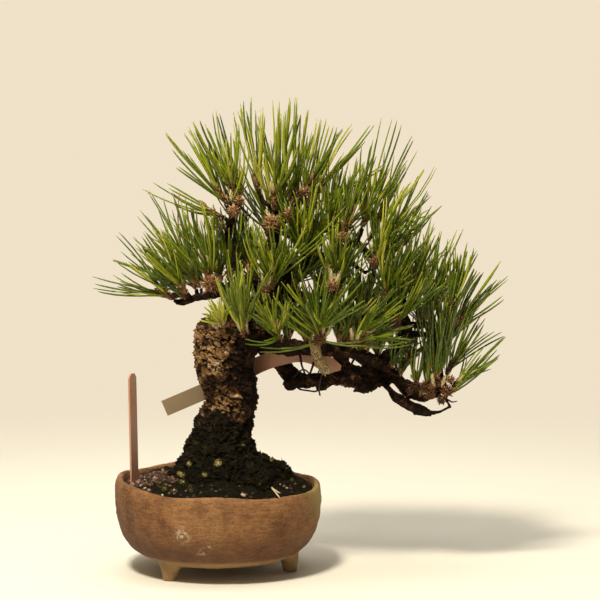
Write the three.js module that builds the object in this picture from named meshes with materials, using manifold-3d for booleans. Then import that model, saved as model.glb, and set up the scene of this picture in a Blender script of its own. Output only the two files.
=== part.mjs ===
// Pine bonsai in a hand-made stoneware bowl. Millimetres, +Z up.
// Points are written from the pot's axis at the foot plane: X to the right, Y away from the
// viewer. The whole group is then moved so that its box stands centred on the origin.
import * as THREE from 'three';
import { mergeVertices } from 'three/addons/utils/BufferGeometryUtils.js';
import Module from 'manifold-3d';

// ---- driving dimensions ----
const TOUCH_GAP = 0.3;            // clearance between pieces that touch

// bowl: [radius, height] round the section, from the drain hole out, up and back in
const HOLE_RADIUS = 6;
const POT_OUTSIDE = [
  [38, 9], [48, 10], [56.3, 13.6], [63, 19], [67.6, 26], [70.7, 35], [72.2, 44], [72.7, 52],
];
const POT_RIM = [[72.1, 58], [71.1, 61.3], [69.5, 62.7], [67.8, 61.8], [67.1, 58]];
const POT_INSIDE = [[66.7, 50], [65, 40], [60.8, 30], [54, 22], [44, 17], [30, 15]];
const POT_FLOOR_TOP = 14.5;
const POT_FLOOR_UNDER = 9;
const POT_SEGMENTS = 32;
const FOOT_RING_RADIUS = 51.6;
const FOOT_ANGLES = [-130, -10, 110];
const FOOT_HEIGHT = 16;
const FOOT_SOLE_RADIUS = 4.9;

// soil and what lies under it
const SOIL_TOP = [[0, 66], [40, 65], [54, 61.8], [61, 59.3], [66.2, 57.5]];
const SOIL_UNDER = [[20, 15.2], [19.6, 17], [0, 17]];
const MESH_SIZE = 26;
const MESH_THICKNESS = 1;
const MESH_HOLES = 3;
const MESH_BAR = 2;

// labels and wire
const STAKE_FOOT = [-58.6, -9, 38];
const STAKE_TOP = [-60.4, -6, 140.5];
const STAKE_WIDTH = 12;
const STAKE_THICKNESS = 1.2;
const STAKE_TURN = 70;            // degrees that its face is turned from the viewer
const STRIP_POINTS = [
  [-39, 20, 112], [-12, 21, 123.5], [12, 22.2, 133.8], [25, 14.5, 142.3], [35, 6.5, 147.8], [46, 3, 151.6],
  [56, 2, 153.4], [64, 1, 153], [70, -1, 150.6], [76, -3, 146.9], [86.5, -6.8, 144.6],
];
const STRIP_WIDTH = 11.6;
const STRIP_THICKNESS = 0.7;
const STRIP_STEPS = 20;
const STRIP_ROUND_END = 0.06;     // share of its length that the rounded right end takes
const WIRE_RADIUS = 0.6;
const WIRE_START = 3.3;           // where it starts and how far it runs, counted in the low limb's points
const WIRE_RUN = 3.3;
const WIRE_TURNS = 1.5;
const WIRE_SLACK = 4;             // how far its loop hangs below the limb
const WIRE_LOOP_AT = 0.72;        // share of the run where it hangs
const WIRE_POINTS = 34;
const WIRE_STEPS = 36;

// wood: [x, y, z, radius] along each stretch, from its thick end
const TRUNK = [
  [6, 0, 46, 35], [5, 0, 56, 41], [4, 0, 64, 39], [2, 0, 74, 34], [2.5, 0, 84, 26.6], [3, 0, 94, 22.4],
  [5, 0, 104, 19.8], [8, 0, 113, 17.8], [10, 0, 122, 17.5], [8, 0, 131, 18.9], [5, 0, 141, 20.3],
  [4, -1, 152, 21.8], [6, -2, 162, 23.2], [13, -2, 170, 20], [22, -1, 177, 16.6], [32, 1, 182, 14],
  [42, 3, 188, 12.2], [48, 4, 197, 10.5], [49, 4, 208, 8.8], [44, 3, 219, 7], [39, 2, 231, 5.3],
  [41, 0, 242, 3.8], [45, -2, 251, 2.4],
];
const LIMBS = [
  // low limb, out to the far right
  [[22, 10, 163, 7.7], [36, 17, 154, 7.1], [44, 17, 146, 6.4], [49, 15, 139, 6.2], [55, 12, 134, 6.6],
    [63, 9, 133, 5.6], [72, 6, 135, 5.2], [81, 4, 137, 6.6], [91, 1, 138.5, 8.6], [101, -1, 137, 8.4],
    [110, -3, 135, 7], [117, -4.5, 133, 5], [123, -5.5, 127, 5.2], [129, -6.5, 121.5, 5.4],
    [136, -7.5, 117.5, 5.2], [144, -8, 114.3, 4], [151, -8, 111.8, 2]],
  // the twig that curls up under its tip
  [[138, -9, 114, 3], [147, -11, 112.8, 2.1], [156, -12, 114.2, 1.7], [163.5, -12, 118, 1.1]],
  // upper right limb
  [[22, -4, 172, 7.7], [38, -10, 161, 6.4], [51, -9, 159.5, 5.8], [64, -8, 158.8, 5.5], [78, -7, 158, 5.6],
    [91, -5, 156.5, 5.3], [102, -2, 153, 5.4], [112, 3, 146, 5.8]],
  // bridge between the two
  [[84, -3, 156, 5], [88, 2, 148, 5.4], [91, 3, 140, 6]],
  // their far end, a stout lit stretch that carries the last tufts
  [[99, 0, 152, 5], [112, 3, 146, 6.4], [121, 4, 139.5, 6.2], [129, 3, 131.5, 6], [137, 1, 126.5, 6.2],
    [146, -1, 125.3, 6], [154, -3, 127, 4.8], [159, -5, 131, 3.2]],
  [[113, 3, 146, 5], [122, 7, 154, 4.8], [130, 8, 164, 4.2], [135, 6, 174, 3.4]],
  // sawn stub on the front of the trunk's bend
  [[20, -3, 171, 7], [27, -13, 172.5, 5.8], [30, -20, 174.5, 5]],
  // right limb of the crown
  [[47, 4, 203, 5.8], [58, 3, 214, 4.9], [68, 2, 219, 4.6], [80, 1, 222, 4.2], [90, 0, 229, 3.5],
    [98, -2, 234, 2.6]],
  // left limb, with its upright
  [[43, 0, 197, 6.5], [34, -3, 206, 5.2], [24, -6, 208, 4.5], [14, -8, 205, 4.2], [5, -9, 199, 3.8],
    [-6, -10, 196, 3.5], [-16, -9, 194, 2.9], [-24, -8, 191, 2.5], [-29, -8, 191.5, 2.1]],
  [[16, -8, 205, 3.5], [14, -6, 216, 3.2], [9, -3, 229, 2.9], [7, -1, 240, 2.6], [10, 0, 250, 2.2]],
  // back limbs
  [[26, 3, 178, 8], [36, 16, 181, 6.4], [50, 28, 180, 5.4], [66, 36, 178, 4.6], [82, 38, 174, 4],
    [98, 34, 170, 3.2]],
  [[36, 4, 184, 6.4], [34, 14, 190, 5], [28, 22, 196, 4.2], [20, 25, 201, 3.4]],
  [[49, 5, 205, 5.2], [54, 15, 214, 4.2], [62, 24, 218, 3.6], [76, 29, 221, 2.8]],
];
const TRUNK_SIDES = 15;
const LIMB_SIDES = 6;
const TWIG_SIDES = 4;
const LIMB_BULGE = 1.07;          // widest over mean radius of a limb's section
const ROOTS = [
  // direction in degrees, then [distance from ROOT_MIDDLE, height, radius] along the root
  [178, [[20, 77, 10], [31, 68, 8.5], [41, 58, 6.5], [50, 46, 4]]],
  [128, [[20, 74, 8], [28.5, 64, 6.2], [39, 56, 4.4], [46, 46, 3.2]]],
  [70, [[20, 74, 8], [27.3, 64, 6.2], [37.4, 56, 4.4], [44, 46, 3.2]]],
  // the knob on the right
  [8, [[22, 75, 9], [36.5, 68, 10], [46, 59.5, 8], [52, 48, 5]]],
  [-38, [[20, 74, 9], [31, 64, 7], [42.5, 56, 5], [50, 46, 3.6]]],
  [-82, [[20, 74, 9], [28.5, 64, 7], [39, 56, 5], [46, 46, 3.6]]],
  [-128, [[20, 74, 9], [29.8, 64, 7], [40.8, 56, 5], [48, 46, 3.6]]],
];
const ROOT_MIDDLE = 5;            // X of the point that the roots run out from
const ROOT_SIDES = 6;

// tufts: name, foot of the shoot, middle of the needle tips, half spread in degrees, and far tips
const TUFTS = [
  ['left_1', [-31, -8, 193], [-76, -12, 223], 24, [[-87, -8, 205], [-85, -14, 202], [-71, -10, 241]]],
  ['left_2', [-21, -14, 198], [-55, -26, 238], 24, [[-70, -20, 221]]],
  ['left_3', [-12, -7, 201], [-46, -4, 259], 24, [[-55, -2, 253], [-49, -4, 270]]],
  ['left_4', [-4, -14, 207], [-19, -22, 260], 26, []],
  ['left_5', [-16, 14, 198], [-42, 36, 244], 30, []],
  ['left_6', [2, 10, 204], [-8, 26, 250], 28, []],
  ['left_7', [3, -5, 251], [-44, -6, 274], 10, [[-49, -6, 273]]],
  ['crown_1', [7, -7, 260], [-26, -12, 307], 20, [[-37, -10, 311], [-22, -8, 313]]],
  ['crown_2', [13, 0, 264], [-6, -2, 318], 20, [[-17, -2, 317], [-2, 0, 324]]],
  ['crown_3', [15, 12, 262], [7, 26, 319], 24, []],
  ['crown_4', [28, -2, 271], [23, -4, 330], 14, [[21, -3, 334]]],
  ['crown_5', [40, -10, 255], [36, -22, 312], 24, []],
  ['crown_6', [43, 5, 262], [44, 6, 327], 18, [[41, 4, 330], [51, 8, 334]]],
  ['crown_7', [53, 0, 256], [60, -2, 324], 18, [[55, 0, 334], [63, -2, 324]]],
  ['crown_8', [61, -10, 266], [76, -16, 316], 20, []],
  ['crown_9', [62, 8, 256], [100, 8, 311], 18, [[108, 8, 314], [94, 6, 313]]],
  ['crown_10', [35, 26, 234], [23, 46, 285], 30, []],
  ['crown_11', [55, 28, 235], [55, 50, 288], 30, []],
  ['right_1', [79, 0, 240], [90, -2, 292], 22, [[89, 0, 290]]],
  ['right_2', [88, -12, 241], [101, -18, 297], 22, []],
  ['right_3', [101, -4, 243], [119, -4, 305], 20, [[118, -2, 318], [127, -6, 317]]],
  ['right_4', [106, 10, 232], [135, 14, 297], 20, [[137, 12, 305], [139, 16, 300]]],
  ['right_5', [113, -14, 228], [141, -24, 272], 22, [[147, -20, 266]]],
  ['right_6', [118, 8, 221], [144, 18, 268], 22, [[142, 14, 279]]],
  ['right_7', [82, 32, 227], [89, 54, 277], 30, []],
  ['right_8', [111, 36, 210], [120, 58, 259], 30, []],
  ['right_9', [110, -24, 217], [125, -44, 262], 26, []],
  ['mid_1', [70, -30, 169], [73, -52, 218], 42, [[47, -44, 208], [102, -44, 217]]],
  ['mid_2', [97, -26, 166], [128, -46, 195], 32, [[137, -36, 167]]],
  ['mid_3', [19, -30, 172], [14, -42, 223], 24, [[11, -38, 230]]],
  ['mid_4', [6, -28, 176], [-6, -38, 196], 30, []],
  ['mid_5', [38, -26, 202], [44, -44, 253], 30, [[89, -40, 258]]],
  ['mid_6', [43, -30, 168], [36, -54, 203], 32, []],
  ['mid_7', [83, -22, 202], [92, -36, 251], 30, []],
  ['mid_8', [59, -16, 226], [51, -30, 274], 28, []],
  ['mid_9', [118, -20, 197], [129, -38, 243], 26, []],
  ['mid_10', [125, -16, 178], [141, -34, 222], 26, []],
  ['far_1', [131, 0, 193], [146, 0, 246], 20, [[144, 0, 251], [151, 2, 248]]],
  ['far_2', [146, -3, 178], [163, 0, 237], 20, [[157, 0, 243], [170, 2, 241]]],
  ['far_3', [153, -11, 137], [156, -16, 198], 16, []],
  ['far_4', [161, 2, 138], [183, 4, 184], 22, [[187, 2, 180], [193, -2, 170]]],
  ['far_5', [162, -9, 127], [195, -14, 160], 16, [[201, -12, 167], [197, -16, 154]]],
  ['far_6', [167, 6, 172], [197, 8, 210], 18, [[199, 6, 218], [205, 4, 208], [185, 2, 194]]],
  ['far_7', [162, -10, 182], [173, -16, 233], 20, [[175, -12, 230]]],
  ['far_8', [142, 26, 168], [153, 46, 215], 28, []],
  ['back_1', [16, 28, 208], [2, 46, 251], 30, []],
  ['back_2', [45, 38, 191], [34, 66, 230], 34, []],
  ['back_3', [74, 44, 187], [78, 68, 229], 34, []],
  ['back_4', [102, 40, 178], [114, 66, 217], 34, []],
  ['back_5', [158, 20, 153], [174, 40, 195], 28, []],
];
const NEEDLES_PER_TUFT = 9;
const NEEDLE_LENGTH = 56;
const SHORTEST_SHOOT = 9;
const NEEDLE_RADIUS = 0.8;
const SHOOT_RADIUS = 2;
const NEEDLE_CLEARANCE = 0.25;    // air kept between needles of two tufts
const CROWDED_SHARE = 0.12;        // of a needle, where it may touch others of its tuft
const TRIES_PER_NEEDLE = 40;

// colour, roughness, metalness
const FIRED_CLAY = [0x8a6244, 0.85, 0];
const SOIL_MOSS = [0x4a4027, 0.95, 0];
const BARK = [0x5a4632, 0.9, 0];
const NEEDLE_GREEN = [0x5d7a22, 0.55, 0];
const SALMON_PLASTIC = [0xe09a80, 0.5, 0];
const TAUPE_PLASTIC = [0x9c8a7c, 0.6, 0];
const BLACK_NET = [0x202020, 0.6, 0];
const DARK_WIRE = [0x2a2018, 0.5, 0.4];

const wasm = await Module();
wasm.setup();

// ---- small tools ----
const vector = ([x, y, z]) => new THREE.Vector3(x, y, z);
const radians = THREE.MathUtils.degToRad;

// seeded draw from 0 to 1
function makeDraw(seed) {
  let state = seed;
  return () => {
    state = (state * 1664525 + 1013904223) % 4294967296;
    return state / 4294967296;
  };
}

function solidFrom(geometry) {
  const bare = geometry.clone();
  bare.deleteAttribute('normal');
  bare.deleteAttribute('uv');
  const merged = mergeVertices(bare, 1e-4);
  return new wasm.Manifold(new wasm.Mesh({
    numProp: 3,
    vertProperties: new Float32Array(merged.attributes.position.array),
    triVerts: new Uint32Array(merged.index.array),
  }));
}

function geometryFrom(solid) {
  const mesh = solid.getMesh();
  const geometry = new THREE.BufferGeometry();
  geometry.setAttribute('position', new THREE.BufferAttribute(new Float32Array(mesh.vertProperties), 3));
  geometry.setIndex(new THREE.BufferAttribute(new Uint32Array(mesh.triVerts), 1));
  geometry.computeVertexNormals();
  return geometry;
}

function piece(name, geometry, [color, roughness, metalness]) {
  const mesh = new THREE.Mesh(geometry, new THREE.MeshStandardMaterial({ color, roughness, metalness }));
  mesh.name = name;
  return mesh;
}

function moveVertices(geometry, move) {
  const position = geometry.attributes.position;
  const point = new THREE.Vector3();
  for (let index = 0; index < position.count; index += 1) {
    point.fromBufferAttribute(position, index);
    move(point);
    position.setXYZ(index, point.x, point.y, point.z);
  }
  return geometry;
}

// untwisted cross directions at even steps along a curve
function framesAlong(curve, steps) {
  const frames = [];
  let normal = new THREE.Vector3(0.36, 0.8, 0.48);
  for (let ring = 0; ring <= steps; ring += 1) {
    const tangent = curve.getTangent(ring / steps);
    normal = normal.clone().addScaledVector(tangent, -normal.dot(tangent)).normalize();
    frames.push({ centre: curve.getPoint(ring / steps), normal, side: tangent.cross(normal) });
  }
  return frames;
}

// A closed tube whose radius changes along a curve: a cylinder whose rings are laid on the curve.
// radiusAt(along, angle) gives its surface.
function taperedTube(curve, radiusAt, sides, steps) {
  const frames = framesAlong(curve, steps);
  const tube = new THREE.CylinderGeometry(1, 1, 1, sides, steps);
  return moveVertices(tube, (point) => {
    const ring = Math.round(THREE.MathUtils.clamp(point.y + 0.5, 0, 1) * steps);
    const angle = Math.atan2(point.z, point.x);
    const reach = Math.hypot(point.x, point.z) * radiusAt(ring / steps, angle);
    const { centre, normal, side } = frames[ring];
    point.copy(centre).addScaledVector(normal, reach * Math.cos(angle));
    point.addScaledVector(side, -reach * Math.sin(angle));
  });
}

// ---- pot ----
// the hand-made bowl is a little out of round, and its rim waves and rises to the left and the back
function shapeByHand(point) {
  const angle = Math.atan2(point.y, point.x);
  const height = THREE.MathUtils.clamp(point.z / 62, 0, 1);
  const rimShare = THREE.MathUtils.smoothstep(point.z, 36, 62);
  const outOfRound = height * (0.5 * Math.sin(2 * angle + 0.8) + 0.3 * Math.sin(5 * angle));
  const radius = Math.hypot(point.x, point.y);
  const scale = radius > 30 ? (radius + outOfRound) / radius : 1;
  const tilt = 1 + Math.sin(angle) + 2.7 * Math.cos(angle - radians(165));
  const wave = 0.8 * Math.sin(4 * angle + 1) + 0.5 * Math.sin(7 * angle);
  point.x *= scale;
  point.y *= scale;
  point.z += rimShare * (tilt + wave);
}

function turned(profile) {
  const points = profile.map(([radius, height]) => new THREE.Vector2(radius, height));
  const lathe = new THREE.LatheGeometry(points, POT_SEGMENTS);
  lathe.rotateX(Math.PI / 2);
  return lathe;
}

function makeFoot(angle) {
  const foot = new THREE.CylinderGeometry(1, 1, FOOT_HEIGHT, 12, 3);
  foot.rotateX(Math.PI / 2);
  moveVertices(foot, (point) => {
    const up = point.z / FOOT_HEIGHT + 0.5;
    point.x *= FOOT_SOLE_RADIUS + 3 * up ** 1.4;
    point.y *= FOOT_SOLE_RADIUS + 8 * up ** 1.8;
    point.x += FOOT_RING_RADIUS - 1.5 * up;
    point.z = up * FOOT_HEIGHT;
  });
  foot.rotateZ(radians(angle));
  return foot;
}

function makePot() {
  const floorEdge = [[HOLE_RADIUS, POT_FLOOR_TOP], [HOLE_RADIUS, POT_FLOOR_UNDER]];
  const section = [...POT_OUTSIDE, ...POT_RIM, ...POT_INSIDE, ...floorEdge, POT_OUTSIDE[0]];
  let bowl = solidFrom(moveVertices(turned(section), shapeByHand));
  for (const angle of FOOT_ANGLES) {
    bowl = bowl.add(solidFrom(makeFoot(angle)));
  }
  return piece('pot', geometryFrom(bowl), FIRED_CLAY);
}

// a square net of crossing bars
function makeDrainMesh() {
  const pitch = (MESH_SIZE - MESH_BAR) / MESH_HOLES;
  let net = null;
  for (let index = 0; index <= MESH_HOLES; index += 1) {
    const offset = (index - MESH_HOLES / 2) * pitch;
    const along = new THREE.BoxGeometry(MESH_SIZE, MESH_BAR, MESH_THICKNESS);
    const across = new THREE.BoxGeometry(MESH_BAR, MESH_SIZE, MESH_THICKNESS);
    const cross = solidFrom(along.translate(0, offset, 0)).add(solidFrom(across.translate(offset, 0, 0)));
    net = net ? net.add(cross) : cross;
  }
  const mesh = piece('drain_mesh', geometryFrom(net), BLACK_NET);
  mesh.position.z = POT_FLOOR_TOP + 2 * TOUCH_GAP + MESH_THICKNESS / 2;
  return mesh;
}

// ---- wood ----
function curveThrough(points) {
  return new THREE.CatmullRomCurve3(points.map(vector), false, 'centripetal');
}

function radiusAlong(points, along) {
  const place = along * (points.length - 1);
  const index = Math.min(Math.floor(place), points.length - 2);
  return THREE.MathUtils.lerp(points[index][3], points[index + 1][3], place - index);
}

// trunk: rings at each listed point, lobed near the soil where the roots run out of it
function trunkSolid(grow) {
  const steps = TRUNK.length - 1;
  const curve = curveThrough(TRUNK);
  const trunk = new THREE.CylinderGeometry(1, 1, 1, TRUNK_SIDES, steps);
  trunk.rotateX(Math.PI / 2);
  moveVertices(trunk, (point) => {
    const ring = Math.round((point.z + 0.5) * steps);
    const [, , height, radius] = TRUNK[ring];
    const angle = Math.atan2(point.y, point.x);
    const share = Math.hypot(point.x, point.y);
    const rootShare = 1 - THREE.MathUtils.smoothstep(height, 52, 112);
    const rootLobes = 0.13 * rootShare * Math.cos(5 * angle - 2.5);
    const reach = share * (radius * (1 + rootLobes + 0.04 * Math.sin(3 * angle + 0.11 * height)) + grow);
    const tangent = curve.getTangent(ring / steps);
    const turn = new THREE.Quaternion().setFromUnitVectors(new THREE.Vector3(0, 0, 1), tangent);
    const arm = new THREE.Vector3(Math.cos(angle), Math.sin(angle), 0).multiplyScalar(reach);
    point.copy(vector(TRUNK[ring])).add(arm.applyQuaternion(turn));
  });
  return solidFrom(trunk);
}

// surface roots run out from the flare and dive into the soil
function rootSolid([direction, places], grow) {
  const angle = radians(direction);
  const points = places.map(([distance, height, radius]) => {
    return [ROOT_MIDDLE + distance * Math.cos(angle), distance * Math.sin(angle), height, radius + grow];
  });
  const surface = (along) => radiusAlong(points, along);
  return solidFrom(taperedTube(curveThrough(points), surface, ROOT_SIDES, points.length - 1));
}

function rootedTrunk(grow) {
  let solid = trunkSolid(grow);
  for (const root of ROOTS) {
    solid = solid.add(rootSolid(root, grow));
  }
  return solid;
}

function limbTube(points) {
  const surface = (along, angle) => {
    return radiusAlong(points, along) * (1 + (LIMB_BULGE - 1) * Math.sin(2 * angle + 9 * along));
  };
  return taperedTube(curveThrough(points), surface, LIMB_SIDES, points.length - 1);
}

// each shoot is carried by a twig from the wood nearest to it, at or below its foot
function twigPoints(tuft) {
  const foot = vector(tuft.foot);
  let best = null;
  let bestCost = Infinity;
  for (const limb of [TRUNK.slice(12), ...LIMBS]) {
    for (let index = 0; index < limb.length * 3 - 2; index += 1) {
      const along = index / (limb.length * 3 - 3);
      const place = curveThrough(limb).getPoint(along);
      const cost = place.distanceTo(foot) + 0.8 * Math.max(0, place.z - foot.z + 4);
      if (cost < bestCost) {
        bestCost = cost;
        best = { place, radius: radiusAlong(limb, along) };
      }
    }
  }
  const span = foot.distanceTo(best.place);
  const end = foot.clone().addScaledVector(tuft.axis, -TOUCH_GAP);
  const before = end.clone().addScaledVector(tuft.axis, -Math.min(4, 0.35 * span));
  const middle = best.place.clone().lerp(before, 0.5);
  middle.z -= 0.1 * span;
  const thick = Math.min(0.8 * best.radius, 2.4 + 0.04 * span);
  const thin = SHOOT_RADIUS - 0.1;
  return [
    [...best.place.toArray(), thick],
    [...middle.toArray(), 0.5 * (thick + thin)],
    [...before.toArray(), thin],
    [...end.toArray(), thin],
  ];
}

function twigTube(points) {
  return taperedTube(curveThrough(points), (along) => radiusAlong(points, along), TWIG_SIDES, 2);
}

// ---- needles ----
const tufts = TUFTS.map(([name, foot, aim, spread, farTips]) => {
  const axis = vector(aim).sub(vector(foot));
  const reach = axis.length();
  axis.normalize();
  const shootLength = Math.max(SHORTEST_SHOOT, reach - NEEDLE_LENGTH);
  return { name, foot, axis, reach, spread, farTips: farTips.map(vector), shootLength, needles: [] };
});

// what the needles keep clear of, as short straight stretches with a radius
const obstacles = [];

function addObstacle(owner, from, to, radius, isShoot = false) {
  const centre = from.clone().add(to).multiplyScalar(0.5);
  const isShootOf = (name) => isShoot && name === owner;
  obstacles.push({ owner, from, to, radius, centre, half: from.distanceTo(to) / 2, isShootOf });
}

function addPathObstacle(owner, points, stretches) {
  const curve = curveThrough(points);
  for (let index = 0; index < stretches; index += 1) {
    const from = curve.getPoint(index / stretches);
    const to = curve.getPoint((index + 1) / stretches);
    const ends = [index, index + 1].map((step) => radiusAlong(points, step / stretches));
    addObstacle(owner, from, to, LIMB_BULGE * Math.max(...ends));
  }
}

function distanceBetween(fromA, toA, fromB, toB) {
  const runA = toA.clone().sub(fromA);
  const runB = toB.clone().sub(fromB);
  const between = fromA.clone().sub(fromB);
  const a = runA.dot(runA);
  const e = runB.dot(runB);
  const f = runB.dot(between);
  const c = runA.dot(between);
  const b = runA.dot(runB);
  const denominator = a * e - b * b;
  const clamp = THREE.MathUtils.clamp;
  let s = denominator > 1e-9 ? clamp((b * f - c * e) / denominator, 0, 1) : 0;
  let t = clamp((b * s + f) / e, 0, 1);
  s = clamp((b * t - c) / a, 0, 1);
  t = clamp((b * s + f) / e, 0, 1);
  return fromA.clone().addScaledVector(runA, s).distanceTo(fromB.clone().addScaledVector(runB, t));
}

// needles of one tuft may touch near their roots, and no needle touches another node
function needleIsClear(owner, root, tip) {
  const centre = root.clone().add(tip).multiplyScalar(0.5);
  const half = root.distanceTo(tip) / 2;
  const beyondRoots = root.clone().lerp(tip, CROWDED_SHARE);
  for (const other of obstacles) {
    const sameTuft = other.owner === owner;
    const limit = sameTuft ? NEEDLE_RADIUS : NEEDLE_RADIUS + other.radius + NEEDLE_CLEARANCE;
    const near = !other.isShootOf(owner) && centre.distanceTo(other.centre) < half + other.half + limit;
    const from = sameTuft ? beyondRoots : root;
    if (near && distanceBetween(from, tip, other.from, other.to) < limit) {
      return false;
    }
  }
  return true;
}

// a needle is a slender three-sided spike
function needleSolid({ root, tip }) {
  const length = root.distanceTo(tip);
  const spike = new THREE.ConeGeometry(NEEDLE_RADIUS, length, 3, 1);
  spike.translate(0, length / 2, 0);
  const run = tip.clone().sub(root).normalize();
  spike.applyQuaternion(new THREE.Quaternion().setFromUnitVectors(new THREE.Vector3(0, 1, 0), run));
  spike.translate(root.x, root.y, root.z);
  return solidFrom(spike);
}

function growNeedles(tuft, seed) {
  const draw = makeDraw(seed);
  const start = vector(tuft.foot);
  const across = new THREE.Vector3(0, 1, 0).cross(tuft.axis).normalize();
  const other = tuft.axis.clone().cross(across);
  const keep = (root, tip) => {
    const clear = needleIsClear(tuft.name, root, tip);
    if (clear) {
      tuft.needles.push({ root, tip });
      addObstacle(tuft.name, root, tip, NEEDLE_RADIUS);
    }
    return clear;
  };
  for (const tip of tuft.farTips) {
    for (let attempt = 0; attempt < TRIES_PER_NEEDLE; attempt += 1) {
      const root = start.clone().addScaledVector(tuft.axis, tuft.shootLength * (0.4 + 0.5 * draw()));
      const end = tip.clone();
      end.y += (draw() - 0.5) * 0.8 * attempt;
      if (keep(root, end)) break;
    }
  }
  for (let index = 0; index < NEEDLES_PER_TUFT; index += 1) {
    for (let attempt = 0; attempt < TRIES_PER_NEEDLE; attempt += 1) {
      const share = Math.sqrt((index + 0.5) / NEEDLES_PER_TUFT);
      const lean = radians(tuft.spread * share * (1 + 0.25 * (draw() - 0.5)));
      const turn = radians(137.5) * index + (draw() - 0.5) * (0.5 + 0.1 * attempt);
      const outward = across.clone().multiplyScalar(Math.cos(turn)).addScaledVector(other, Math.sin(turn));
      const direction = tuft.axis.clone().multiplyScalar(Math.cos(lean));
      direction.addScaledVector(outward, Math.sin(lean));
      const rootShare = 0.95 - 0.6 * share + 0.08 * (draw() - 0.5);
      const root = start.clone().addScaledVector(tuft.axis, tuft.shootLength * rootShare);
      const length = NEEDLE_LENGTH * (0.84 + 0.2 * draw()) * (attempt > 24 ? 0.75 : 1);
      const tip = root.clone().addScaledVector(direction, Math.min(length, tuft.reach));
      if (keep(root, tip)) break;
    }
  }
}

// the slim shoot that the needles stand on
function shootSolid(tuft) {
  const start = vector(tuft.foot);
  const end = start.clone().addScaledVector(tuft.axis, tuft.shootLength);
  const core = new THREE.LineCurve3(start, end);
  return solidFrom(taperedTube(core, (along) => SHOOT_RADIUS * (1 - 0.25 * along), 4, 1));
}

function makeTuft(tuft) {
  let solid = shootSolid(tuft);
  for (const needle of tuft.needles) {
    solid = solid.add(needleSolid(needle));
  }
  return piece(`needles_${tuft.name}`, geometryFrom(solid), NEEDLE_GREEN);
}

// ---- labels and wire ----
// grow widens the blade into the slot that it stands in
function makeStake(grow) {
  const length = vector(STAKE_TOP).distanceTo(vector(STAKE_FOOT));
  const half = STAKE_WIDTH / 2 + grow;
  const thickness = STAKE_THICKNESS + 2 * grow;
  const outline = new THREE.Shape();
  outline.moveTo(0, -2 * grow).lineTo(half, 14).lineTo(half, length - 3).lineTo(half - 3, length);
  outline.lineTo(3 - half, length).lineTo(-half, length - 3).lineTo(-half, 14).closePath();
  const blade = new THREE.ExtrudeGeometry(outline, { depth: thickness, bevelEnabled: false });
  blade.translate(0, 0, -thickness / 2);
  blade.rotateX(Math.PI / 2);
  blade.rotateZ(radians(STAKE_TURN));
  const lean = vector(STAKE_TOP).sub(vector(STAKE_FOOT)).normalize();
  blade.applyQuaternion(new THREE.Quaternion().setFromUnitVectors(new THREE.Vector3(0, 0, 1), lean));
  blade.translate(...STAKE_FOOT);
  return blade;
}

// the strip bends along its curve, its width upright, and its right end is rounded
function makeStrip() {
  const curve = curveThrough(STRIP_POINTS);
  const strip = new THREE.BoxGeometry(1, STRIP_WIDTH, STRIP_THICKNESS, STRIP_STEPS, 1, 1);
  moveVertices(strip, (point) => {
    const along = THREE.MathUtils.clamp(point.x + 0.5, 0, 1);
    const tangent = curve.getTangentAt(along);
    const face = tangent.clone().cross(new THREE.Vector3(0, 0, 1)).normalize();
    const upward = face.clone().cross(tangent);
    const intoEnd = Math.max(0, (along - 1 + STRIP_ROUND_END) / STRIP_ROUND_END);
    const height = point.y * Math.max(0.3, Math.sqrt(1 - intoEnd ** 2));
    point.copy(curve.getPointAt(along).addScaledVector(upward, height).addScaledVector(face, point.z));
  });
  return strip;
}

// a thin wire wound round the low limb, with a slack loop hanging between its turns
function wirePath() {
  const limb = LIMBS[0];
  const curve = curveThrough(limb);
  const path = [];
  for (let index = 0; index <= WIRE_POINTS; index += 1) {
    const share = index / WIRE_POINTS;
    const along = (WIRE_START + WIRE_RUN * share) / (limb.length - 1);
    const angle = Math.PI * (0.35 + 2 * WIRE_TURNS * share);
    const slack = WIRE_SLACK * Math.exp(-(((share - WIRE_LOOP_AT) / 0.15) ** 2));
    const reach = 1.2 * radiusAlong(limb, along) + WIRE_RADIUS + TOUCH_GAP + slack;
    const centre = curve.getPoint(along);
    const tangent = curve.getTangent(along);
    const side = new THREE.Vector3(0, 1, 0).cross(tangent).normalize();
    const back = tangent.clone().cross(side);
    centre.addScaledVector(side, reach * Math.sin(angle)).addScaledVector(back, reach * Math.cos(angle));
    path.push(centre);
  }
  return path;
}

function makeWire() {
  const curve = new THREE.CatmullRomCurve3(wirePath(), false, 'centripetal');
  const section = new THREE.Shape();
  section.absarc(0, 0, WIRE_RADIUS, 0, 2 * Math.PI);
  const sweep = { steps: WIRE_STEPS, curveSegments: 3, bevelEnabled: false, extrudePath: curve };
  return new THREE.ExtrudeGeometry(section, sweep);
}

// ---- put together ----
const twigs = tufts.map(twigPoints);

let wood = rootedTrunk(0);
for (const limb of LIMBS) {
  wood = wood.add(solidFrom(limbTube(limb)));
}
for (const twig of twigs) {
  wood = wood.add(solidFrom(twigTube(twig)));
}

const soilInside = POT_INSIDE.map(([radius, height]) => [radius - TOUCH_GAP, height + TOUCH_GAP]);
const soilSection = [...SOIL_TOP, ...soilInside, ...SOIL_UNDER];
const filling = solidFrom(moveVertices(turned(soilSection.reverse()), shapeByHand));
const soil = filling.subtract(rootedTrunk(TOUCH_GAP)).subtract(solidFrom(makeStake(TOUCH_GAP)));

addPathObstacle('wood', TRUNK, 40);
LIMBS.forEach((limb) => addPathObstacle('wood', limb, 3 * limb.length));
twigs.forEach((twig) => addPathObstacle('wood', twig, 8));
tufts.forEach((tuft) => {
  const start = vector(tuft.foot);
  const end = start.clone().addScaledVector(tuft.axis, tuft.shootLength);
  addObstacle(tuft.name, start, end, SHOOT_RADIUS, true);
});
tufts.forEach((tuft, index) => growNeedles(tuft, 101 + index * 37));

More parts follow.
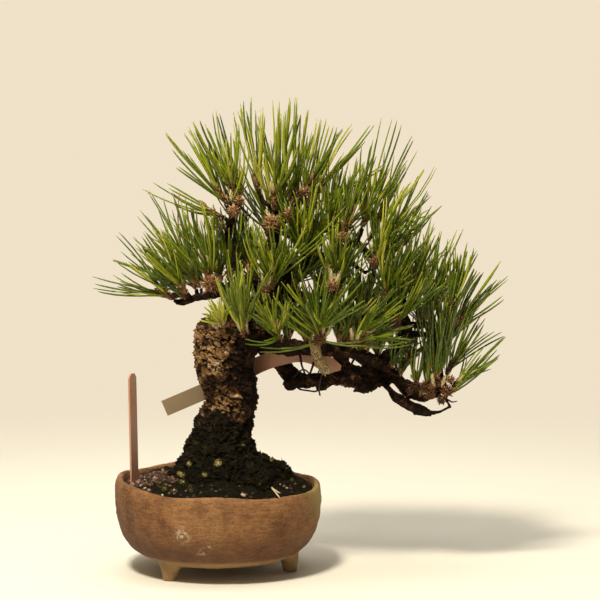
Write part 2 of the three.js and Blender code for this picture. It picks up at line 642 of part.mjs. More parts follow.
const bonsai = new THREE.Group();
bonsai.add(makePot());
bonsai.add(makeDrainMesh());
bonsai.add(piece('soil', geometryFrom(soil), SOIL_MOSS));
bonsai.add(piece('tree_wood', geometryFrom(wood), BARK));
bonsai.add(piece('plant_label', makeStake(0), SALMON_PLASTIC));
bonsai.add(piece('strip_label', makeStrip(), TAUPE_PLASTIC));
bonsai.add(piece('training_wire', makeWire(), DARK_WIRE));
tufts.forEach((tuft) => bonsai.add(makeTuft(tuft)));

const box = new THREE.Box3().setFromObject(bonsai);
const middle = box.getCenter(new THREE.Vector3());
bonsai.position.set(-middle.x, -middle.y, -box.min.z);

export default bonsai;
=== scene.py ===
import itertools
import math
import random

import bmesh
import bpy
import numpy as np
from mathutils import Matrix, Vector
from mathutils.bvhtree import BVHTree


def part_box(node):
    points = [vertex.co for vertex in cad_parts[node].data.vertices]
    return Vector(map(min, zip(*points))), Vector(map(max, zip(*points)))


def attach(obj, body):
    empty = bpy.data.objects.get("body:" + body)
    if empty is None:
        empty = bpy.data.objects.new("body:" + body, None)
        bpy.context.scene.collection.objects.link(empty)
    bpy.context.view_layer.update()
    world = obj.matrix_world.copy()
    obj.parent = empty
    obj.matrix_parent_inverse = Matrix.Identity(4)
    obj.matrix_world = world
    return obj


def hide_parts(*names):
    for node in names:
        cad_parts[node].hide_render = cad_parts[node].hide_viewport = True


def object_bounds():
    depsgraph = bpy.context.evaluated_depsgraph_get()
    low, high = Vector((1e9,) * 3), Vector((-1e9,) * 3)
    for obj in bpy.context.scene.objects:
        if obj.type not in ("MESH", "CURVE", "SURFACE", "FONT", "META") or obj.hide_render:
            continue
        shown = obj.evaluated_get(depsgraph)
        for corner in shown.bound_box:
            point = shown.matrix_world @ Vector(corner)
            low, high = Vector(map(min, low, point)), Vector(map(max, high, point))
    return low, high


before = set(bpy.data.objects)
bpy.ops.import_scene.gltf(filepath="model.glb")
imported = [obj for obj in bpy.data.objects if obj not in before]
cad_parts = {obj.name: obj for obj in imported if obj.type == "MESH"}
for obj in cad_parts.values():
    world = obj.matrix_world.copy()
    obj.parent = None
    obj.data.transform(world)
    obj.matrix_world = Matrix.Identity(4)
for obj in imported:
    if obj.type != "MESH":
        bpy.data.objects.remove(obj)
cad_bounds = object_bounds()

# The design is written in millimetres from the bowl's axis at the plane of its feet. The drain net
# is centred on that axis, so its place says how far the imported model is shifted.
MM = 0.001
net_low, net_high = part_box("drain_mesh")
AXIS_SHIFT = np.array([(net_low.x + net_high.x) / 2, (net_low.y + net_high.y) / 2, 0.0])
FULL_TURN = 2 * math.pi
GOLDEN_ANGLE = math.radians(137.5)


def place(points):
    """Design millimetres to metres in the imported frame."""
    return np.asarray(points, float) * MM + AXIS_SHIFT


def unplace(points):
    """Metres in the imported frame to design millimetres."""
    return (np.asarray(points, float) - AXIS_SHIFT) / MM


def unit(vector):
    return vector / max(np.linalg.norm(vector), 1e-9)


# ---- camera
CAMERA_DISTANCE = 1890.0
CAMERA_SIDE = 57.75
CAMERA_HEIGHT = 387.2
CAMERA_PITCH = 5.9
FOCAL_PIXELS = 2700.0
FRAME_PIXELS = 600.0
SENSOR_WIDTH = 36.0

camera_data = bpy.data.cameras.new("camera")
camera_data.sensor_width = SENSOR_WIDTH
camera_data.lens = SENSOR_WIDTH * FOCAL_PIXELS / FRAME_PIXELS
camera_data.clip_end = 20
camera = bpy.data.objects.new("camera", camera_data)
camera.location = place([CAMERA_SIDE, -CAMERA_DISTANCE, CAMERA_HEIGHT])
camera.rotation_euler = (math.radians(90 - CAMERA_PITCH), 0, 0)
bpy.context.scene.collection.objects.link(camera)
bpy.context.scene.camera = camera


# ---- node materials
class Surface:
    """A node material. Each method adds nodes and gives back the socket that carries their result."""

    def __init__(self, name, roughness=0.5, specular=0.5):
        self.material = bpy.data.materials.new(name)
        self.material.use_nodes = True
        self.nodes = self.material.node_tree.nodes
        self.shader = self.nodes["Principled BSDF"]
        self.shader.inputs["Roughness"].default_value = roughness
        self.shader.inputs["Specular IOR Level"].default_value = specular
        self.flat = self.coordinates((1, 1, 1))

    def put(self, socket, value):
        """Links an output to a socket, or sets the socket to a constant."""
        if isinstance(value, bpy.types.NodeSocket):
            self.material.node_tree.links.new(value, socket)
        elif socket.type == "RGBA":
            socket.default_value = (*value, 1)
        else:
            socket.default_value = value

    def add(self, kind, values, **settings):
        node = self.nodes.new("ShaderNode" + kind)
        for name, value in settings.items():
            setattr(node, name, value)
        for key, value in values.items():
            self.put(node.inputs[key], value)
        return node

    def coordinates(self, scale):
        source = self.add("TexCoord", {}).outputs["Object"]
        return self.add("Mapping", {"Vector": source, "Scale": scale}).outputs[0]

    def axis(self, name):
        return self.add("SeparateXYZ", {0: self.flat}).outputs[name]

    def attribute(self, name):
        """Red, green, blue and alpha of a colour that the mesh carries."""
        source = self.add("Attribute", {}, attribute_name=name)
        split = self.add("SeparateColor", {"Color": source.outputs["Color"]})
        return split.outputs[0], split.outputs[1], split.outputs[2], source.outputs["Alpha"]

    def noise(self, scale, detail, roughness=0.6, stretch=None):
        vector = self.flat if stretch is None else self.coordinates(stretch)
        values = {"Vector": vector, "Scale": scale, "Detail": detail, "Roughness": roughness}
        return self.add("TexNoise", values).outputs["Fac"]

    def ramp(self, factor, *stops):
        node = self.add("ValToRGB", {"Fac": factor})
        elements = node.color_ramp.elements
        while len(elements) < len(stops):
            elements.new(0.5)
        for element, (position, colour) in zip(elements, stops):
            element.position = position
            element.color = (*colour, 1)
        return node.outputs["Color"]

    def mix(self, factor, first, second, blend="MIX"):
        values = {0: factor, 6: first, 7: second}
        return self.add("Mix", values, data_type="RGBA", blend_type=blend).outputs[2]

    def maths(self, operation, first, second, clamp=False):
        return self.add("Math", {0: first, 1: second}, operation=operation, use_clamp=clamp).outputs[0]

    def times(self, first, second):
        return self.maths("MULTIPLY", first, second)

    def fade(self, value, low, high, out_low=0.0, out_high=1.0):
        """A smooth step of a value between two numbers."""
        values = {"Value": value, "From Min": low, "From Max": high, "To Min": out_low, "To Max": out_high}
        return self.add("MapRange", values, interpolation_type="SMOOTHSTEP").outputs["Result"]

    def spot(self, centre, radius):
        """1 at a point of the design, falling to 0 at the radius."""
        away = self.add("VectorMath", {0: self.flat, 1: tuple(place(centre))}, operation="DISTANCE")
        return self.fade(away.outputs["Value"], radius * MM, 0.2 * radius * MM)

    def bump(self, height, distance, strength):
        """Adds relief on top of the relief that is there."""
        node = self.add("Bump", {"Height": height, "Distance": distance, "Strength": strength})
        normal = self.shader.inputs["Normal"]
        if normal.is_linked:
            self.put(node.inputs["Normal"], normal.links[0].from_socket)
        self.put(normal, node.outputs["Normal"])

    def show(self, node):
        """Lets a shader node stand in for the surface's own."""
        self.put(self.nodes["Material Output"].inputs["Surface"], node.outputs[0])

    def finish(self, colour):
        self.put(self.shader.inputs["Base Color"], colour)
        return self.material


# pale blooms on the pot's front: middle and radius
MINERAL_SPOTS = [
    ((-22.5, -66, 37), 8), ((-29, -62, 33.5), 3.5), ((-3.5, -67, 30.5), 4.2), ((-8, -65, 26), 5),
    ((-12, -64, 24), 3),
]


def clay_material():
    clay = Surface("stoneware", 0.78, 0.35)
    patch = clay.noise(60, 6, 0.7)
    grain = clay.noise(560, 4, 0.75, (1, 1, 2))
    lines = clay.noise(130, 5, 0.7, (1, 1, 5))
    base = clay.ramp(clay.noise(26, 5, 0.62), (0.32, (0.12, 0.045, 0.016)), (0.46, (0.225, 0.094, 0.033)),
                     (0.56, (0.3, 0.14, 0.052)), (0.7, (0.268, 0.143, 0.055)))
    mottled = clay.ramp(patch, (0.38, (0.1, 0.036, 0.014)), (0.52, (0.28, 0.13, 0.048)),
                        (0.66, (0.345, 0.182, 0.076)))
    shade = clay.times(clay.fade(grain, 0.35, 0.65, 0.76, 1.18), clay.fade(lines, 0.35, 0.65, 0.74, 1.12))
    # painted shade: the bowl's left end is made darker
    shade = clay.times(shade, clay.fade(clay.spot((-74, -30, 34), 52), 0, 1, 1, 0.72))
    grey = clay.add("CombineColor", {0: shade, 1: shade, 2: shade}).outputs[0]
    colour = clay.mix(1.0, clay.mix(0.5, base, mottled), grey, "MULTIPLY")
    # the right end of the rim is lighter and yellow-olive, and the underside and feet are bare ochre
    olive = clay.spot((70, -12, 58), 30)
    colour = clay.mix(clay.times(olive, 0.75), colour, (0.36, 0.27, 0.09))
    height = clay.axis("Z")
    low = clay.fade(height, 0.0175, 0.012)
    colour = clay.mix(clay.times(low, 0.7), colour, (0.4, 0.26, 0.12))
    # painted shade: the bowl darkens in patches from 44 mm down towards 15 mm, less on the ochre underside
    dark = clay.times(clay.fade(height, 0.044, 0.015), clay.fade(patch, 0.4, 0.6, 0.44, 0.88))
    dark = clay.times(dark, clay.fade(low, 0, 0.7, 1, 0.1))
    colour = clay.mix(dark, colour, (0.075, 0.03, 0.016))
    # pale mineral blooms on the front
    speck = clay.fade(clay.noise(420, 3), 0.44, 0.62)
    for centre, radius in MINERAL_SPOTS:
        colour = clay.mix(clay.times(clay.spot(centre, radius), speck), colour, (0.52, 0.42, 0.3))
    clay.bump(lines, 0.001, 0.8)
    clay.bump(grain, 0.0006, 0.8)
    return clay.finish(colour)


def bark_material():
    """Bark by the mesh's own height, moss, lightness and tint: tan, purple-brown, dark or mossy.
    The lightness is mostly painted light and shade, and the height paints shade into the cracks.
    """
    bark = Surface("bark", 0.88, 0.1)
    height, moss, light, tint = bark.attribute("bark")
    fine = bark.noise(340, 5, 0.72, (1, 1, 3))
    medium = bark.noise(190, 5, 0.7)
    tan = bark.ramp(tint, (0.15, (0.06, 0.028, 0.012)), (0.36, (0.205, 0.11, 0.042)),
                    (0.52, (0.4, 0.225, 0.092)), (0.68, (0.25, 0.132, 0.062)), (0.82, (0.76, 0.52, 0.31)))
    purple = bark.ramp(tint, (0.15, (0.008, 0.004, 0.002)), (0.5, (0.046, 0.019, 0.01)),
                       (0.75, (0.12, 0.058, 0.026)), (0.9, (0.27, 0.15, 0.068)))
    # painted light and shade: tan where the lightness is high, purple-brown lower, near-black where it is
    # lowest
    ragged = bark.maths("ADD", light, bark.fade(medium, 0.3, 0.7, -0.22, 0.22), True)
    lit = bark.mix(bark.fade(ragged, 0.42, 0.72), purple, tan)
    lit = bark.mix(bark.fade(ragged, 0.05, 0.34), (0.01, 0.006, 0.004), lit)
    lit = bark.mix(bark.fade(fine, 0.44, 0.58, 0, 0.72), lit, (0.03, 0.016, 0.009))
    # painted shade: near-black where the plates sink, in the cracks between them and in the fissures
    crack = bark.fade(height, 0.24, 0.6)
    colour = bark.mix(crack, (0.006, 0.003, 0.002), lit)
    mossy = bark.ramp(fine, (0.36, (0.002, 0.002, 0.001)), (0.52, (0.009, 0.008, 0.003)),
                      (0.64, (0.03, 0.024, 0.007)), (0.8, (0.11, 0.08, 0.022)))
    brown = bark.ramp(medium, (0.44, (0.003, 0.002, 0.001)), (0.6, (0.022, 0.013, 0.005)),
                      (0.75, (0.12, 0.07, 0.026)))
    mossy = bark.mix(crack, (0.004, 0.003, 0.002), bark.mix(0.5, mossy, brown))
    cover = bark.maths("ADD", moss, bark.fade(medium, 0.3, 0.7, -0.35, 0.35), True)
    bark.bump(medium, 0.0012, 0.8)
    bark.bump(fine, 0.0005, 0.9)
    return bark.finish(bark.mix(bark.fade(cover, 0.42, 0.6), colour, mossy))


def needle_material():
    needle = Surface("needles", 0.3, 0.4)
    along, tone, dead, _ = needle.attribute("needle")
    green = needle.ramp(tone, (0.0, (0.013, 0.033, 0.001)), (0.35, (0.064, 0.11, 0.002)),
                        (0.6, (0.168, 0.222, 0.004)), (0.85, (0.345, 0.37, 0.016)), (1.0, (0.54, 0.5, 0.08)))
    streak = needle.noise(420, 3)
    green = needle.mix(needle.fade(streak, 0.4, 0.7, 0, 0.4), green, (0.3, 0.325, 0.03))
    colour = needle.mix(needle.fade(along, 0.02, 0.1), (0.3, 0.17, 0.05), green)
    colour = needle.mix(needle.fade(along, 0.95, 1, 0, 0.8), colour, (0.33, 0.23, 0.07))
    withered = needle.ramp(tone, (0.2, (0.28, 0.105, 0.045)), (0.6, (0.42, 0.23, 0.1)),
                           (1.0, (0.8, 0.68, 0.5)))
    needle.bump(streak, 0.0002, 0.3)
    return needle.finish(needle.mix(dead, colour, withered))


def shoot_material():
    shoot = Surface("shoot_scales", 0.7)
    _, tone, kind, _ = shoot.attribute("needle")
    speck = shoot.noise(900, 4, 0.7)
    brown = shoot.ramp(tone, (0.0, (0.08, 0.03, 0.012)), (0.4, (0.25, 0.105, 0.038)),
                       (0.75, (0.43, 0.22, 0.085)), (1.0, (0.62, 0.42, 0.2)))
    candle = shoot.ramp(tone, (0.0, (0.28, 0.2, 0.08)), (0.5, (0.46, 0.37, 0.16)), (1.0, (0.64, 0.54, 0.32)))
    shoot.bump(speck, 0.0003, 0.6)
    return shoot.finish(shoot.mix(shoot.fade(speck, 0.45, 0.68, 0, 0.5), shoot.mix(kind, brown, candle),
                                  (0.045, 0.022, 0.012)))


def soil_material():
    soil = Surface("moss_and_soil", 0.95, 0.12)
    moss_here = soil.attribute("ground")[0]
    fine = soil.noise(800, 5, 0.7)
    medium = soil.noise(150, 5, 0.65)
    moss = soil.ramp(fine, (0.38, (0.002, 0.002, 0.001)), (0.54, (0.007, 0.007, 0.002)),
                     (0.66, (0.028, 0.026, 0.007)), (0.8, (0.09, 0.07, 0.025)))
    humus = soil.ramp(medium, (0.44, (0.003, 0.002, 0.001)), (0.6, (0.016, 0.01, 0.005)),
                      (0.75, (0.09, 0.052, 0.025)))
    bare = soil.ramp(medium, (0.35, (0.012, 0.006, 0.004)), (0.55, (0.05, 0.022, 0.012)),
                     (0.7, (0.12, 0.06, 0.034)))
    soil.bump(medium, 0.0014, 0.8)
    soil.bump(fine, 0.0006, 1.0)
    return soil.finish(soil.mix(moss_here, bare, soil.mix(0.45, moss, humus)))


def granule_material():
    granule = Surface("soil_granules", 0.92)
    tone = granule.attribute("ground")[0]
    grain = granule.noise(1500, 4, 0.7)
    colour = granule.ramp(tone, (0.0, (0.016, 0.008, 0.005)), (0.45, (0.085, 0.036, 0.02)),
                          (0.75, (0.24, 0.12, 0.075)), (1.0, (0.6, 0.48, 0.37)))
    granule.bump(grain, 0.0004, 0.9)
    return granule.finish(granule.mix(granule.fade(grain, 0.4, 0.65, 0, 0.5), colour, (0.08, 0.04, 0.024)))


def moss_material():
    moss = Surface("moss", 0.85, 0.15)
    along, tone, _, _ = moss.attribute("ground")
    patch = moss.noise(90, 3)
    green = moss.ramp(tone, (0.0, (0.003, 0.004, 0.001)), (0.45, (0.013, 0.015, 0.004)),
                      (0.7, (0.045, 0.05, 0.012)), (0.85, (0.15, 0.125, 0.03)), (1.0, (0.64, 0.5, 0.22)))
    tip = moss.mix(moss.fade(along, 0.3, 1, 0, 0.45), green, (0.13, 0.12, 0.04))
    shade = moss.maths("MAXIMUM", moss.fade(patch, 0.4, 0.6, 0.2, 0.8), moss.fade(tone, 0.7, 0.85))
    moss.bump(patch, 0.0003, 0.4)
    return moss.finish(moss.mix(shade, (0.006, 0.006, 0.003), tip))


def plastic_material(name, colour, stain, roughness, lit_right_colour=None):
    plastic = Surface(name, roughness)
    if lit_right_colour is not None:
        # painted light: right of X = 5 mm the plastic takes its lit colour
        middle = place([5, 0, 0])[0]
        share = plastic.fade(plastic.axis("X"), middle - 0.01, middle + 0.02)
        colour = plastic.mix(share, colour, lit_right_colour)
    plastic.bump(plastic.noise(1400, 2, 0.5), 0.0001, 0.4)
    return plastic.finish(plastic.mix(plastic.fade(plastic.noise(55, 4), 0.4, 0.68, 0, 0.4), colour, stain))


def wire_material():
    wire = Surface("anodised_wire", 0.5)
    worn = wire.noise(300, 4)
    wire.shader.inputs["Metallic"].default_value = 0.6
    wire.bump(worn, 0.0001, 0.4)
    return wire.finish(wire.ramp(worn, (0.4, (0.02, 0.013, 0.009)), (0.75, (0.09, 0.06, 0.04))))


# ---- meshes
def mesh_piece(name, vertices, faces, material, smooth=True):
    mesh = bpy.data.meshes.new(name)
    mesh.from_pydata(np.asarray(vertices).tolist(), [], faces)
    mesh.validate()
    mesh.materials.append(material)
    piece = bpy.data.objects.new(name, mesh)
    bpy.context.scene.collection.objects.link(piece)
    if smooth:
        mesh.shade_smooth()
    return piece


def finish_piece(piece, slot, *nodes):
    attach(piece, "root")
    if nodes:
        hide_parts(*nodes)
    return piece


def colour_attribute(mesh, name, values):
    attribute = mesh.color_attributes.new(name, "FLOAT_COLOR", "POINT")
    attribute.data.foreach_set("color", np.asarray(values, np.float32).reshape(-1))


def vertex_values(mesh, name):
    """The "co" or the "normal" of each vertex."""
    values = np.empty(len(mesh.vertices) * 3, np.float32)
    mesh.vertices.foreach_get(name, values)
    return values.reshape(-1, 3).astype(float)


def surface_tree(mesh):
    faces = [tuple(face.vertices) for face in mesh.polygons]
    return BVHTree.FromPolygons(vertex_values(mesh, "co").tolist(), faces)


def fuse(piece, voxel, relaxing):
    """Melts a piece's bodies into one skin and relaxes it."""
    remesh = piece.modifiers.new("fuse", "REMESH")
    remesh.mode = "VOXEL"
    remesh.voxel_size = voxel * MM
    relax = piece.modifiers.new("relax", "SMOOTH")
    relax.iterations = relaxing
    relax.factor = 0.5
    graph = bpy.context.evaluated_depsgraph_get()
    made = bpy.data.meshes.new_from_object(piece.evaluated_get(graph))
    old = piece.data
    piece.modifiers.clear()
    piece.data = made
    bpy.data.meshes.remove(old)
    return made


def push_out(mesh, distance):
    """Moves each vertex along its normal, by millimetres."""
    co = vertex_values(mesh, "co") + vertex_values(mesh, "normal") * (distance * MM)[:, None]
    mesh.vertices.foreach_set("co", co.astype(np.float32).reshape(-1))
    mesh.update()
    mesh.shade_smooth()


def circle(centre, across, other, radius, sides):
    turns = [FULL_TURN * side / sides for side in range(sides)]
    return [centre + radius * (math.cos(turn) * across + math.sin(turn) * other) for turn in turns]


def ring_faces(rings, sides, caps=True, start=0):
    """Faces between rings of vertices that follow one another, and over both ends."""
    faces = []
    last = start + (rings - 1) * sides
    for near in range(start, last, sides):
        far = near + sides
        for side in range(sides):
            ahead = (side + 1) % sides
            faces.append((near + side, near + ahead, far + ahead, far + side))
    if caps:
        faces += [tuple(range(start, start + sides))[::-1], tuple(range(last, last + sides))]
    return faces


def tube(line, sides=6):
    """A closed round body along points of X, Y, Z and radius."""
    line = np.array(line, float)
    vertices = []
    for index, point in enumerate(line):
        ahead = line[min(index + 1, len(line) - 1)][:3]
        along = unit(ahead - line[max(index - 1, 0)][:3])
        side = unit(np.cross(along, (0.31, 0.87, 0.38)))
        vertices += circle(point[:3], side, np.cross(along, side), point[3], sides)
    return vertices, ring_faces(len(line), sides)


def spindle(centre, axis, length, radius, sides=8, rings=6, point=0.7):
    """A closed pointed body along an axis from its base centre."""
    axis = unit(axis)
    across = unit(np.cross(axis, (0.3, 0.5, 0.81)))
    other = np.cross(axis, across)
    vertices = [centre]
    for ring in range(1, rings):
        t = ring / rings
        swell = math.sin(math.pi * t ** point) ** 0.8
        vertices += circle(centre + axis * length * t, across, other, radius * swell, sides)
    vertices.append(centre + axis * length)
    faces = ring_faces(rings - 1, sides, False, 1)
    last = len(vertices) - 1
    for side in range(sides):
        ahead = (side + 1) % sides
        faces += [(0, 1 + ahead, 1 + side), (last - sides + side, last - sides + ahead, last)]
    return vertices, faces


def ball(subdivisions):
    probe = bmesh.new()
    bmesh.ops.create_icosphere(probe, subdivisions=subdivisions, radius=1)
    points = np.array([v.co for v in probe.verts])
    faces = [tuple(v.index for v in f.verts) for f in probe.faces]
    probe.free()
    return points, faces


class Sink:
    """Collects the vertices, colours and faces of many closed bodies for one piece."""

    def __init__(self):
        self.vertices, self.colours, self.faces = [], [], []

    def add(self, body, colour=(0, 0, 0, 1)):
        """Takes a body of points and faces, and its colour or one colour for each point."""
        points, faces = body
        start = len(self.vertices)
        self.vertices.extend(points)
        self.colours.append(np.broadcast_to(colour, (len(points), 4)))
        self.faces.extend(tuple(start + i for i in face) for face in faces)

    def make(self, name, material, attribute, smooth=True):
        piece = mesh_piece(name, place(self.vertices), self.faces, material, smooth)
        colour_attribute(piece.data, attribute, np.vstack(self.colours))
        return piece


# ---- seeded noise on points
def smoothstep(value, low, high):
    share = np.clip((np.asarray(value, float) - low) / (high - low), 0, 1)
    return share * share * (3 - 2 * share)


def cell_random(cells, seed):
    """A random number from 0 to 1 for each whole-numbered cell, from a plain integer hash."""
    x, y, z = cells.astype(np.int64).T
    mixed = x * 73856093 ^ y * 19349663 ^ z * 83492791 ^ seed * 2654435761
    mixed = (mixed ^ (mixed >> 13)) * 1274126177 & 0xFFFFFFFF
    mixed = (mixed ^ (mixed >> 16)) * 2246822519 & 0xFFFFFFFF
    return ((mixed ^ (mixed >> 15)) & 0xFFFFFF) / float(0xFFFFFF)


def cell_noise(points, seed):
    """Distances to the nearest and second nearest feature point, a random value of the nearest, and
    the height over it."""
    base = np.floor(points)
    nearest, second = np.full((2, len(points)), 9.0)
    value, rise = np.zeros((2, len(points)))
    for step in itertools.product((-1, 0, 1), repeat=3):
        cell = base + step
        feature = cell + np.stack([cell_random(cell, seed + k) for k in range(3)], 1)
        distance = np.linalg.norm(points - feature, axis=1)
        closer = distance < nearest
        second = np.where(closer, nearest, np.minimum(second, distance))
        value = np.where(closer, cell_random(cell, seed + 7), value)
        rise = np.where(closer, points[:, 2] - feature[:, 2], rise)
        nearest = np.where(closer, distance, nearest)
    return nearest, second, value, rise


def soft_noise(points, seed):
    """Smooth value noise from -1 to 1."""
    base = np.floor(points)
    share = points - base
    share = share * share * (3 - 2 * share)
    total = np.zeros(len(points))
    for step in itertools.product((0, 1), repeat=3):
        weight = np.where(step, share, 1 - share).prod(axis=1)
        total += weight * cell_random(base + step, seed)
    return 2 * total - 1


def layered_noise(points, seed, layers=4):
    """Soft noise with finer layers on it, each half as strong."""
    return sum(soft_noise(points * 2 ** layer, seed + 31 * layer) / 2 ** layer for layer in range(layers))


# ---- pot
POT_OUTSIDE = [(38, 9), (48, 10), (56.3, 13.6), (63, 19), (67.6, 26), (70.7, 35), (72.2, 44), (72.7, 52)]
POT_RIM = [(72.1, 58), (71.1, 61.3), (69.5, 62.7), (67.8, 61.8), (67.1, 58)]
POT_INSIDE = [(66.7, 50), (65, 40), (60.8, 30), (54, 22), (44, 17), (30, 15)]
POT_FLOOR = [(6, 14.5), (6, 9)]
POT_HEIGHT = 62
POT_SEGMENTS = 180
POT_VOXEL = 0.9
POT_RELAXING = 5
SECTION_STEPS = 4
FOOT_RING_RADIUS = 51.6
FOOT_ANGLES = (-130, -10, 110)
FOOT_HEIGHT = 16
FOOT_SOLE_RADIUS = 4.9
FOOT_SIDES = 40
FOOT_RINGS = 12


def shape_by_hand(points):
    """The bowl is a little out of round, and its rim waves and rises to the left and the back."""
    x, y, z = points.T
    angle = np.arctan2(y, x)
    out_of_round = 0.5 * np.sin(2 * angle + 0.8) + 0.3 * np.sin(5 * angle)
    radius = np.hypot(x, y)
    swell = out_of_round * np.clip(z / POT_HEIGHT, 0, 1)
    scale = np.where(radius > 30, (radius + swell) / np.maximum(radius, 1), 1)
    tilt = 1 + np.sin(angle) + 2.7 * np.cos(angle - math.radians(165))
    wave = 0.8 * np.sin(4 * angle + 1) + 0.5 * np.sin(7 * angle)
    return np.stack([x * scale, y * scale, z + smoothstep(z, 36, POT_HEIGHT) * (tilt + wave)], 1)


def rounded_section(section):
    """A closed Catmull-Rom line through the section's points."""
    points = np.array(section, float)
    line = []
    for index in range(len(points)):
        before, here, after, beyond = np.roll(points, 1 - index, axis=0)[:4]
        for t in np.arange(SECTION_STEPS) / SECTION_STEPS:
            square = (2 * before - 5 * here + 4 * after - beyond) * t ** 2
            cube = (3 * here - before - 3 * after + beyond) * t ** 3
            line.append(0.5 * (2 * here + (after - before) * t + square + cube))
    return line


def bowl_body():
    section = rounded_section(POT_OUTSIDE + POT_RIM + POT_INSIDE + POT_FLOOR)
    angles = np.linspace(0, FULL_TURN, POT_SEGMENTS, endpoint=False)
    vertices = [(r * math.cos(a), r * math.sin(a), z) for r, z in section for a in angles]
    faces = np.array(ring_faces(len(section) + 1, POT_SEGMENTS, False)) % len(vertices)
    return shape_by_hand(np.array(vertices)), faces.tolist()


def foot_body(angle):
    vertices = []
    for up, side in itertools.product(np.arange(FOOT_RINGS + 1) / FOOT_RINGS, range(FOOT_SIDES)):
        turn = FULL_TURN * side / FOOT_SIDES
        x = (FOOT_SOLE_RADIUS + 3 * up ** 1.4) * math.cos(turn) + FOOT_RING_RADIUS - 1.5 * up
        y = (FOOT_SOLE_RADIUS + 8 * up ** 1.8) * math.sin(turn)
        vertices.append((x, y, up * FOOT_HEIGHT))
    turned = Matrix.Rotation(math.radians(angle), 3, "Z")
    return np.array([turned @ Vector(v) for v in vertices]), ring_faces(FOOT_RINGS + 1, FOOT_SIDES)


def make_pot(material):
    sink = Sink()
    sink.add(bowl_body())
    for angle in FOOT_ANGLES:
        sink.add(foot_body(angle))
    piece = mesh_piece("bowl", place(sink.vertices), sink.faces, material)
    mesh = fuse(piece, POT_VOXEL, POT_RELAXING)
    mm = unplace(vertex_values(mesh, "co"))
    dents = 0.25 + 0.45 * layered_noise(mm / 26, 3, 3) + 0.26 * layered_noise(mm / (8, 8, 2.6), 5, 3)
    dents += 0.16 * layered_noise(mm / 2.2, 9, 2)
    push_out(mesh, dents * smoothstep(mm[:, 2], 0.2, 4))
    return finish_piece(piece, "fired_clay", "pot")


# ---- wood
WOOD_VOXEL = 0.62
WOOD_RELAXING = 6
KNOB_SIDES = 16
# start and reach in metres of the ray that measures the wood, and the millimetres when it meets nothing
RAY_START = 0.0003
RAY_REACH = 0.09
THICKEST_WOOD = 60
# middle X and half width of the trunk at heights Z
TRUNK_LINE = [
    (60, 3, 40), (74, 2, 34), (94, 3, 23), (113, 8, 18.5), (122, 10, 18), (141, 5, 21), (158, 5, 23),
    (172, 15, 21), (188, 42, 13),
]
# spots of wood that light has bleached, beside the trunk's painted light: middle, radius and amount
BLEACHED_WOOD = [
    ((147, -3, 127), 12, 0.62), ((30, -20, 175), 7, 0.7), ((47, 0, 214), 10, 0.3), ((60, -9, 159), 9, 0.25),
    ((108, 2, 150), 7, 0.25),
]
# the trunk's shoulder and swellings on the limbs: X, Y, Z and radius
KNOBS = [
    [(0, -4, 156, 16.5), (0, -4, 164, 16.5), (3, -3, 170, 12.5), (8, -2, 176.5, 11), (15, 0, 183, 8.5)],
    [(52, 10, 133, 5), (51, 5, 132, 5.5), (54, 2, 132, 3)],
    [(70, 3, 131, 4), (76, 0, 130.5, 3.2)],
    [(97, -6, 133, 5), (104, -7, 131.5, 5), (110, -8, 133, 3)],
    [(44, -11, 161, 5), (50, -13, 157.5, 4.5), (57, -12, 158, 4)],
]
# stretches of limb that are slimmer than the solid: middle, reach and depth
SLIM_WOOD = [((122, -2, 134), 15, 3.2), ((133, -7, 119), 11, 1.2)]
# twigs that carry tufts, and dead ones that cross the gaps between the limbs: X, Y, Z and radius
FINE_TWIGS = [
    [(41, -1, 240, 2.2), (39, -14, 243, 2), (38, -27, 246, 1.8)],
    [(43, 0, 244, 2), (47, -13, 248, 1.8), (49.4, -25, 252, 1.6)],
    [(61, -6, 262, 1.6), (61, -18, 267, 1.4)],
    [(98, -2, 234, 1.8), (92, -18, 234, 1.6), (87, -32, 237, 1.4)],
    [(112, -12, 222, 1.8), (110, -28, 220, 1.4)],
    [(7, -2, 246, 2), (10, -12, 250, 1.8), (12, -22, 254, 1.6)],
    [(83, -20, 202, 1.8), (80, -36, 204, 1.5)],
    [(37, -24, 200, 1.8), (33, -33, 202, 1.4)],
    [(-3, -10, 197, 2.4), (-3.6, -22, 201, 2.2)],
    [(57.7, -7, 154, 0.9), (59, -4.5, 146, 0.8), (61.3, 3, 139, 0.7)],
    [(69, -6, 154, 0.9), (66.5, -5, 145, 0.8), (64.8, 3, 139, 0.7)],
    [(73.2, -7, 154, 0.7), (72.5, -6.5, 145, 0.6), (70.5, 1, 140, 0.5)],
    [(103.5, -4, 153, 0.8), (106, -6, 147, 0.7), (108.5, -4, 141, 0.6)],
    [(96.4, -5, 152, 0.9), (94.5, -4, 148, 0.8), (93, -1, 145, 0.7)],
    [(154, -8, 126, 1), (159, -11, 124, 0.8), (164.5, -13, 121.2, 0.6), (168, -13, 121.8, 0.4)],
    [(52, 12, 131, 0.8), (58, 6, 127.5, 0.7), (68, 2, 126.6, 0.7), (77, 1, 129.5, 0.6), (82, 1, 133, 0.6)],
    [(120, -6, 141, 0.7), (127, -9, 139, 0.6), (131, -10, 134, 0.5)],
    [(84, 2, 146, 0.7), (88, -6, 144, 0.6), (90, -7, 141, 0.6)],
]


def near_to(mm, point, reach):
    """1 around a point of the design, falling to 0 at the reach."""
    return smoothstep(np.linalg.norm(mm - np.array(point), axis=1), reach, 0.5 * reach)


